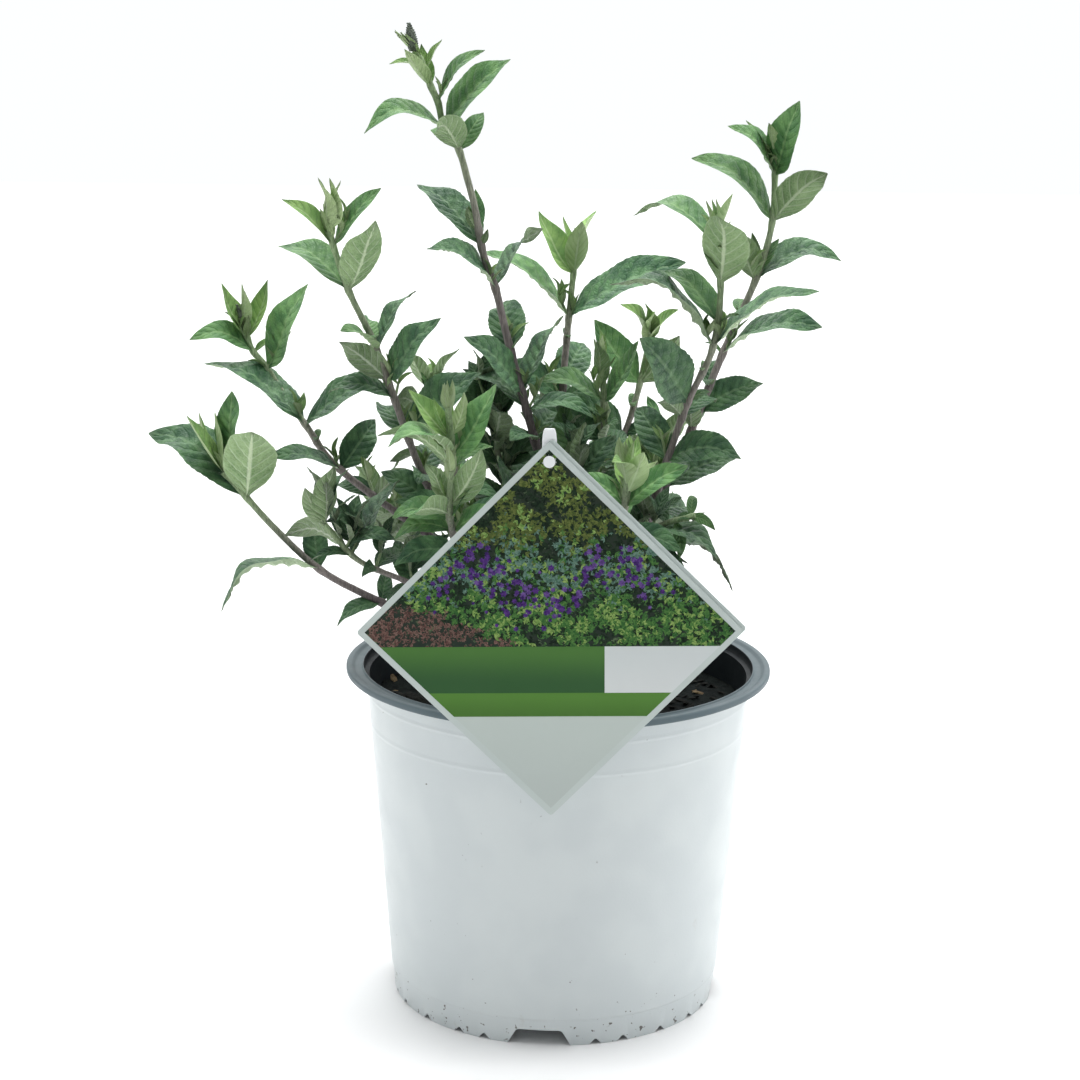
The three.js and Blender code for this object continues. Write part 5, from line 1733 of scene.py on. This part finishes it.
@dataclass
class Mix:
    """The potting mix: a rough bed of peat strewn with bark chips."""

    bench: Bench
    pot: Pot
    top: float = 143.0
    roughness: float = 3.2
    chips: int = 520
    tan_share: float = 0.1
    clear: float = 12.0
    gap: float = 0.3

    def height_at(self, x: float, y: float) -> float:
        """Return the height of the bed's surface at a place."""
        broad = noise.noise(Vector((x * 0.06, y * 0.06, 3.1)))
        fine = noise.noise(Vector((x * 0.35, y * 0.35, 9.4)))
        return self.top - 0.6 + self.roughness * broad * 0.55 + self.roughness * fine * 0.35

    def build(self) -> None:
        """Add the bed and the chips."""
        reach = self.pot.wall_radius(self.top) - self.pot.wall - self.gap
        floor = self.pot.channel + self.pot.wall + self.gap
        pad = floor - 7.6
        profile = [(0, pad), (self.pot.pad_radius - 2, pad), (self.pot.pad_radius + 1, floor)]
        profile += [(self.pot.wall_radius(floor) - self.pot.wall - self.gap, floor), (reach, self.top)]
        profile += [(r, self.top) for r in np.linspace(reach - 1.5, 1.5, 56)] + [(0, self.top)]
        bm = lathe(profile, 150)
        for vert in bm.verts:
            if vert.co.z > self.top - 1:
                vert.co.z = self.height_at(vert.co.x, vert.co.y)
        self.bench.from_bmesh("mix_bed", bm, "peat", "potting_mix", ("potting_mix",), 180)
        rand = np.random.default_rng(SEED + 3)
        for kind, share in (("dark", 1 - self.tan_share), ("tan", self.tan_share)):
            bm = bmesh.new()
            for _ in range(round(self.chips * share)):
                self._chip(bm, reach, rand)
            finish = f"chip_{kind}"
            self.bench.from_bmesh(f"mix_chips_{kind}", bm, finish, "potting_mix", ("potting_mix",), 35)

    def _chip(self, bm: BMesh, reach: float, rand: Rand) -> None:
        """Add one flake of bark, pressed a little into the bed."""
        length = rand.gamma(3.2, 1.2) + 1.5
        radius = (reach - length * 0.6) * math.sqrt(rand.uniform((self.clear / reach) ** 2, 1))
        angle = rand.uniform(0, 2 * math.pi)
        x, y = radius * math.cos(angle), radius * math.sin(angle)
        wide, high = length * rand.uniform(0.15, 0.3), length * rand.uniform(0.06, 0.14)
        size = Matrix.Diagonal((length / 2, wide, high, 1))
        turn = Matrix.Rotation(rand.uniform(0, 6.28), 4, "Z") @ Matrix.Rotation(rand.normal(0, 0.3), 4, "Y")
        matrix = Matrix.Translation((x, y, self.height_at(x, y) + length * 0.05)) @ turn @ size
        verts = bmesh.ops.create_icosphere(bm, subdivisions=2, radius=1.0, matrix=matrix)["verts"]
        for vert in verts:
            vert.co += Vector(rand.normal(0, 0.035 * length, 3) * (1, 1, 0.4))


# ------------------------------------------------------------------------------------ tag


@dataclass
class Tag:
    """The plant tag: two square plies hung corner-up on a stud, printed with plain bands and a meadow."""

    bench: Bench
    side: float = 118.0
    corner: float = 2.5
    thickness: float = 0.6
    centre: tuple[float, float] = (-4.5, 203.9)
    front: float = -104.0
    ply_gap: float = 0.3
    ply_shift: tuple[float, float] = (1.3, 1.0)
    turn: float = 1.0
    hole_radius: float = 3.1
    hole_drop: float = 8.9
    border: float = 2.6
    picture_foot: float = -6.6
    band_foot: float = -27.4
    strip_foot: float = -38.0
    panel_left: float = 23.5
    holder_width: float = 6.2
    holder_thickness: float = 1.5
    holder_rise: float = 5.0
    holder_taper: float = 0.7
    stud_radius: float = 2.6
    stud_proud: float = 0.4
    layer_step: float = 0.012
    holder_gap: float = 0.3
    holder_edge: float = 0.35
    stud_edge: float = 0.3
    strip_back: tuple[float, float, float] = (-81.5, 95.0, 143.0)
    meadow_half: float = 78.0
    sprig: tuple[float, float] = (1.2, 3.1)
    sprig_fullness: float = 0.4
    clod: tuple[float, float] = (0.7, 0.34)
    heads: int = 230
    head: tuple[float, float] = (0.9, 1.9)
    head_fullness: float = 0.6
    head_purple: float = 0.65
    # each layer of the meadow: how many sprigs are tried, how full a clump they need, and the inks at
    # its top, in its middle and at its foot
    layers: tuple[tuple[int, float, tuple[tuple[str, ...], ...]], ...] = (
        (4200, 0.0, (("shade",), ("shade",), ("shade", "shade", "green"))),
        (3600, 0.25, (("olive", "shade"), ("teal", "green", "shade"), ("green", "shade"))),
        (3600, 0.4, (("olive",), ("teal", "teal", "green"), ("green", "green", "lime"))),
        (2400, 0.65, (("olive", "lime"), ("teal", "lime"), ("lime", "green"))),
    )

    # directions on the flat square, before it is turned corner-up
    SIDES = (Vector((1, 0, 0)), Vector((-1, 0, 0)), Vector((0, 1, 0)), Vector((0, -1, 0)))
    CORNERS = ((-1, -1), (1, -1), (1, 1), (-1, 1))
    UPWARD = Vector((1, 1, 0)).normalized()
    RIGHT = Vector((1, -1, 0)).normalized()
    FIELDS = ["tag_white", "print_meadow", "print_band", "print_strip", "print_panel", "print_foot"]
    PRINTS = (
        PrintFinish("print_meadow", (0.012, 0.02, 0.008), (0.006, 0.018, 0.01), 270.0, 205.0, dots=0.85),
        PrintFinish("print_band", (0.058, 0.16, 0.03), (0.022, 0.085, 0.022), 197.0, 180.0),
        PrintFinish("print_strip", (0.075, 0.2, 0.028), (0.055, 0.15, 0.02), 176.0, 166.0),
        PrintFinish("print_panel", (0.56, 0.6, 0.6), (0.6, 0.63, 0.63), 197.0, 177.0),
        PrintFinish("print_foot", (0.47, 0.53, 0.5), (0.43, 0.48, 0.46), 165.0, 125.0),
        *(
            LooseFinish(f"ink_{ink}", dark, light, 500.0 if ink == "shade" else 700.0, 0.5, 0.00002)
            for ink, dark, light in (
                ("shade", (0.003, 0.009, 0.005), (0.015, 0.033, 0.016)),
                ("olive", (0.045, 0.07, 0.018), (0.12, 0.15, 0.04)),
                ("green", (0.025, 0.09, 0.025), (0.075, 0.18, 0.045)),
                ("teal", (0.05, 0.11, 0.085), (0.13, 0.22, 0.17)),
                ("lime", (0.1, 0.2, 0.045), (0.25, 0.37, 0.11)),
                ("purple", (0.03, 0.012, 0.085), (0.09, 0.036, 0.2)),
                ("violet", (0.07, 0.035, 0.15), (0.14, 0.08, 0.27)),
                ("earth", (0.075, 0.035, 0.03), (0.2, 0.12, 0.1)),
            )
        ),
    )

    def _placing(self, shift: tuple[float, float], front: float) -> Matrix:
        """Return the matrix that takes a flat square about the origin to its place on the holder."""
        stand = Matrix.Rotation(math.pi / 2, 4, "X") @ Matrix.Rotation(math.radians(45 + self.turn), 4, "Z")
        return Matrix.Translation((self.centre[0] + shift[0], front, self.centre[1] + shift[1])) @ stand

    def hole_place(self) -> tuple[float, float]:
        """Return the place of the hole on the face of the tag."""
        reach, lean = self.side / math.sqrt(2) - self.hole_drop, math.radians(self.turn)
        return self.centre[0] - reach * math.sin(lean), self.centre[1] + reach * math.cos(lean)

    def _plate(self, placing: Matrix) -> BMesh:
        """Return one ply as a flat face in place, its front divided into its printed fields."""
        bm = bmesh.new()
        half = self.side / 2
        corners = [bm.verts.new((a * half, b * half, 0)) for a, b in self.CORNERS]
        bm.faces.new(corners)
        soften(bm, corners, self.corner * 0.58, 6, "VERTICES")
        for normal in self.SIDES:
            slice_at(bm, normal * (half - self.border), normal)
        for level in (self.picture_foot, self.band_foot, self.strip_foot):
            slice_at(bm, self.UPWARD * level, self.UPWARD)
        slice_at(bm, self.RIGHT * self.panel_left, self.RIGHT)
        bmesh.ops.transform(bm, matrix=placing, verts=bm.verts)
        return bm

    def _field(self, p: Vector) -> int:
        """Return the face slot of a place on the flat square: border, picture, band, strip, panel or foot."""
        level, right = (p.x + p.y) / math.sqrt(2), (p.x - p.y) / math.sqrt(2)
        if max(abs(p.x), abs(p.y)) > self.side / 2 - self.border:
            return 0
        if level > self.picture_foot:
            return 1
        if level > self.band_foot:
            return 4 if right > self.panel_left else 2
        return 3 if level > self.strip_foot else 5

    def build(self) -> None:
        """Add the two plies, the holder and the printed meadow."""
        back = self.front + self.thickness + self.ply_gap
        plies = (
            ("tag_face", "tag_front", (0.0, 0.0), self.front),
            ("tag_rear", "tag_back", self.ply_shift, back),
        )
        x, z = self.hole_place()
        for name, node, shift, front in plies:
            placing = self._placing(shift, front)
            bm = self._plate(placing)
            rear = new_verts(bmesh.ops.extrude_face_region(bm, geom=bm.faces[:]))
            bmesh.ops.translate(bm, verts=rear, vec=(0, self.thickness, 0))
            bmesh.ops.recalc_face_normals(bm, faces=bm.faces)
            drill = bmesh.new()
            matrix = Matrix.Translation((x, front, z)) @ Matrix.Rotation(math.pi / 2, 4, "X")
            rod(drill, self.hole_radius, 6, 40, matrix)
            mesh = cut(mesh_of(name, bm), drill)
            flat = placing.inverted()
            for face in mesh.polygons:
                printed = face.normal.y < -0.5 and name == "tag_face"
                face.material_index = self._field(flat @ face.center) if printed else 0
            self.bench.piece(name, mesh, self.FIELDS, "tag_sheet", (node,))
        self._holder(back + self.thickness + self.holder_gap)
        self._meadow()

    def _holder(self, front: float) -> None:
        """Add the plastic strip with its stud.

        Args:
            front: where its front face is, behind the plies.
        """
        x, z = self.hole_place()
        top = self.centre[1] + self.side / math.sqrt(2)
        middle = front + self.holder_thickness / 2
        bm = bmesh.new()
        behind, foot, bend = self.strip_back
        rise = self.holder_rise
        stations = [(behind, foot, 1.0), (behind, bend, 1.0), (middle, z - 8, 1.0), (middle, top, 1.0)]
        stations += [(middle, top + rise * 0.6, 0.9), (middle, top + rise, self.holder_taper)]
        rows = []
        for y, height, fullness in stations:
            w, t = self.holder_width * fullness / 2, self.holder_thickness / 2
            rows.append([bm.verts.new((x + a * w, y + b * t, height)) for a, b in self.CORNERS])
        for lower, upper in zip(rows, rows[1:]):
            for k in range(4):
                bm.faces.new((lower[k], lower[(k + 1) % 4], upper[(k + 1) % 4], upper[k]))
        bm.faces.new(reversed(rows[0]))
        bm.faces.new(rows[-1])
        bmesh.ops.recalc_face_normals(bm, faces=bm.faces)
        soften(bm, bm.edges[:], self.holder_edge, 2)
        depth = front + 0.5 - self.front + self.stud_proud
        matrix = Matrix.Translation((x, front + 0.5 - depth / 2, z)) @ Matrix.Rotation(math.pi / 2, 4, "X")
        stud = rod(bm, self.stud_radius, depth, 36, matrix)
        edges = {edge for vert in stud for edge in vert.link_edges}
        rim = [edge for edge in edges if all(vert.co.y < self.front for vert in edge.verts)]
        soften(bm, rim, self.stud_edge, 3)
        self.bench.from_bmesh("holder_strip", bm, "holder_white", "holder_plastic", ("tag_holder",), 40)

    def _meadow(self) -> None:
        """Add the printed meadow: sprigs in clumps, dark ones lowest, then flower heads and bare earth."""
        rand = np.random.default_rng(SEED + 11)
        half, lowest = self.meadow_half, self.picture_foot
        meshes = {ink.name: bmesh.new() for ink in self.PRINTS if ink.name.startswith("ink")}
        for layer, (count, least, choices) in enumerate(self.layers):
            for _ in range(count):
                x, z = rand.uniform(-half, half), rand.uniform(lowest, half)
                columns = math.sin(0.23 * x + 1.7 * math.sin(0.11 * z))
                rows = math.sin(0.31 * z + 1.3 * math.sin(0.17 * x))
                clump = 0.5 + 0.25 * (columns + rows)
                if abs(x) + z > half + 2 or clump < least * rand.uniform(0.4, 1.3):
                    continue
                high = (z - lowest) / 80 + rand.normal(0, 0.06)
                length = rand.uniform(*self.sprig)
                if x < -30 - 2.2 * z + 6 * math.sin(z) and z < 12:
                    shorter, fullness = self.clod
                    self._petals(meshes["ink_earth"], x, z, layer, 2, length * shorter, fullness, rand)
                    continue
                band = choices[0 if high > 0.58 else 1 if high > 0.3 else 2]
                bm = meshes[f"ink_{band[rand.integers(len(band))]}"]
                self._petals(bm, x, z, layer, rand.integers(2, 4), length, self.sprig_fullness, rand)
        for _ in range(self.heads):
            along = rand.random()
            x = -52 + 100 * along + rand.normal(0, 8)
            z = 10 + 22 * math.sin(along * 5.2 + 0.6) ** 2 + rand.normal(0, 5)
            if z < lowest + 3 or abs(x) + z > 72:
                continue
            ink = "ink_purple" if rand.random() < self.head_purple else "ink_violet"
            length = rand.uniform(*self.head)
            self._petals(meshes[ink], x, z, len(self.layers), 6, length, self.head_fullness, rand)
        placing = self._placing((0.0, 0.0), self.front)
        for ink, bm in meshes.items():
            for normal in self.SIDES:
                slice_at(bm, normal * (self.side / 2 - self.border), normal, clear=True)
            slice_at(bm, self.UPWARD * lowest, -self.UPWARD, clear=True)
            bmesh.ops.transform(bm, matrix=placing, verts=bm.verts)
            bmesh.ops.recalc_face_normals(bm, faces=bm.faces)
            self.bench.from_bmesh(f"tag_{ink}", bm, ink, "tag_sheet")

    def _petals(
        self,
        bm: BMesh,
        x: float,
        z: float,
        layer: int,
        count: int,
        length: float,
        fullness: float,
        rand: Rand,
    ) -> None:
        """Add one sprig or flower head: a few flat leaf shapes about a point.

        Args:
            bm: the bmesh that takes it.
            x: its place to the right of the tag's middle.
            z: its place above the tag's middle.
            layer: the number of its layer; each lies a hundredth of a millimetre above the one before.
            count: how many leaves or petals it has.
            length: their length.
            fullness: their width as a share of the length.
            rand: the generator for its variety.
        """
        start = rand.uniform(0, 2 * math.pi)
        spread = 2 * math.pi / count if count > 3 else 0.9
        up, right = np.array([1, 1]) / math.sqrt(2), np.array([1, -1]) / math.sqrt(2)
        middle = right * x + up * z
        proud = 0.02 + self.layer_step * layer + rand.uniform(0, 0.008)
        for k in range(count):
            angle = start + spread * k
            along = np.array([math.cos(angle), math.sin(angle)])
            across = np.array([-along[1], along[0]]) * length * fullness / 2
            waist = middle + along * length * 0.5
            outline = [middle, waist + across, middle + along * length, waist - across]
            bm.faces.new([bm.verts.new((p[0], p[1], proud)) for p in outline])


# ------------------------------------------------------------------------------------ studio


@dataclass
class Studio:
    """A plain pale floor, soft light from all round, and the camera."""

    target: Place = (-9.3, 0.0, 219.9)
    distance: float = 1200.0
    elevation: float = 13.27
    roll: float = 0.72
    focal: float = 85.47
    sensor: float = 36.0
    clip: tuple[float, float] = (0.05, 50.0)
    floor_half: tuple[float, float] = (6.0, 4.0)
    # each light's name, place, width and power; one this far to the side is turned to the object, and
    # the others face straight down
    lights: tuple[tuple[str, Place, float, float], ...] = (
        ("overhead", (60.0, -50.0, 1700.0), 1200.0, 22.0),
        ("left", (-1300.0, 250.0, 600.0), 900.0, 1.5),
        ("right", (1300.0, 250.0, 600.0), 900.0, 4.0),
        ("backdrop", (0.0, 2600.0, 2300.0), 3200.0, 75.0),
    )
    beside: float = 1000.0
    sky: tuple[float, float] = (0.37, 1.02)
    sky_colour: Colour = (0.97, 0.99, 1.0)

    def build(self) -> None:
        """Add the floor, the lights, the world and the camera."""
        self._floor()
        aim = Vector(self.target) * MM
        for name, place, size, power in self.lights:
            lamp = bpy.data.lights.new(name, "AREA")
            lamp.shape, lamp.size, lamp.energy = "DISK", size * MM, power
            light = bpy.data.objects.new(name, lamp)
            light.location = Vector(place) * MM
            below = Vector((place[0], place[1], 0)) * MM
            toward = below if abs(place[0]) < self.beside else aim
            light.rotation_euler = (toward - light.location).to_track_quat("-Z", "Y").to_euler()
            bpy.context.scene.collection.objects.link(light)
        self._sky()
        bpy.context.scene.view_settings.view_transform = "Standard"
        self._camera(aim)

    def _floor(self) -> None:
        """Add the flat sheet that the object stands on."""
        wide, deep = self.floor_half
        bm = bmesh.new()
        edge = bm.edges.new([bm.verts.new((x, -deep, 0)) for x in (-wide, wide)])
        far = new_verts(bmesh.ops.extrude_edge_only(bm, edges=[edge]))
        bmesh.ops.translate(bm, verts=far, vec=(0, 2 * deep, 0))
        bmesh.ops.recalc_face_normals(bm, faces=bm.faces)
        mesh = mesh_of("floor", bm)
        mesh.shade_smooth()
        paint = Paint("floor_paper")
        cloud = paint.noise(paint.place(), 0.8, 2.0)
        mesh.materials.append(paint.finish(paint.mix(cloud, (0.9, 0.9, 0.9), (0.93, 0.93, 0.93)), 0.9))
        floor = bpy.data.objects.new("floor", mesh)
        bpy.context.scene.collection.objects.link(floor)

    def _sky(self) -> None:
        """Add the surrounding light, dimmer in front of the object than behind it."""
        world = bpy.data.worlds.new("studio")
        world.use_nodes = True
        nodes, links = world.node_tree.nodes, world.node_tree.links
        split = nodes.new("ShaderNodeSeparateXYZ")
        links.new(nodes.new("ShaderNodeTexCoord").outputs["Generated"], split.inputs[0])
        fade = nodes.new("ShaderNodeMapRange")
        links.new(split.outputs["Y"], fade.inputs["Value"])
        for name, value in zip(("From Min", "From Max", "To Min", "To Max"), (-0.8, 0.5, *self.sky)):
            fade.inputs[name].default_value = value
        links.new(fade.outputs["Result"], nodes["Background"].inputs["Strength"])
        nodes["Background"].inputs["Color"].default_value = (*self.sky_colour, 1.0)
        bpy.context.scene.world = world

    def _camera(self, aim: Vector) -> None:
        """Add the camera, aimed at a point."""
        e = math.radians(self.elevation)
        back = Vector((0, -math.cos(e), math.sin(e)))
        camera = bpy.data.objects.new("camera", bpy.data.cameras.new("camera"))
        camera.data.sensor_width, camera.data.lens = self.sensor, self.focal
        camera.data.clip_start, camera.data.clip_end = self.clip
        look = (-back).to_track_quat("-Z", "Y").to_matrix() @ Matrix.Rotation(math.radians(self.roll), 3, "Z")
        camera.matrix_world = Matrix.Translation(aim + back * self.distance * MM) @ look.to_4x4()
        bpy.context.scene.collection.objects.link(camera)
        bpy.context.scene.camera = camera


def main() -> None:
    """Build the studio, then the plant from its pot upwards, and write how large it is."""
    logging.basicConfig(level=logging.INFO, format="%(name)s %(message)s")
    bench = Bench(Palette())
    Studio().build()
    pot = Pot(bench)
    pot.build()
    Mix(bench, pot).build()
    Tag(bench).build()
    Wood(bench).grow()
    Foliage(bench).grow()
    triangles = sum(len(p.vertices) - 2 for o in bench.pieces for p in o.data.polygons)
    log.info("%d pieces, %d triangles", len(bench.pieces), triangles)


if __name__ == "__main__":
    main()
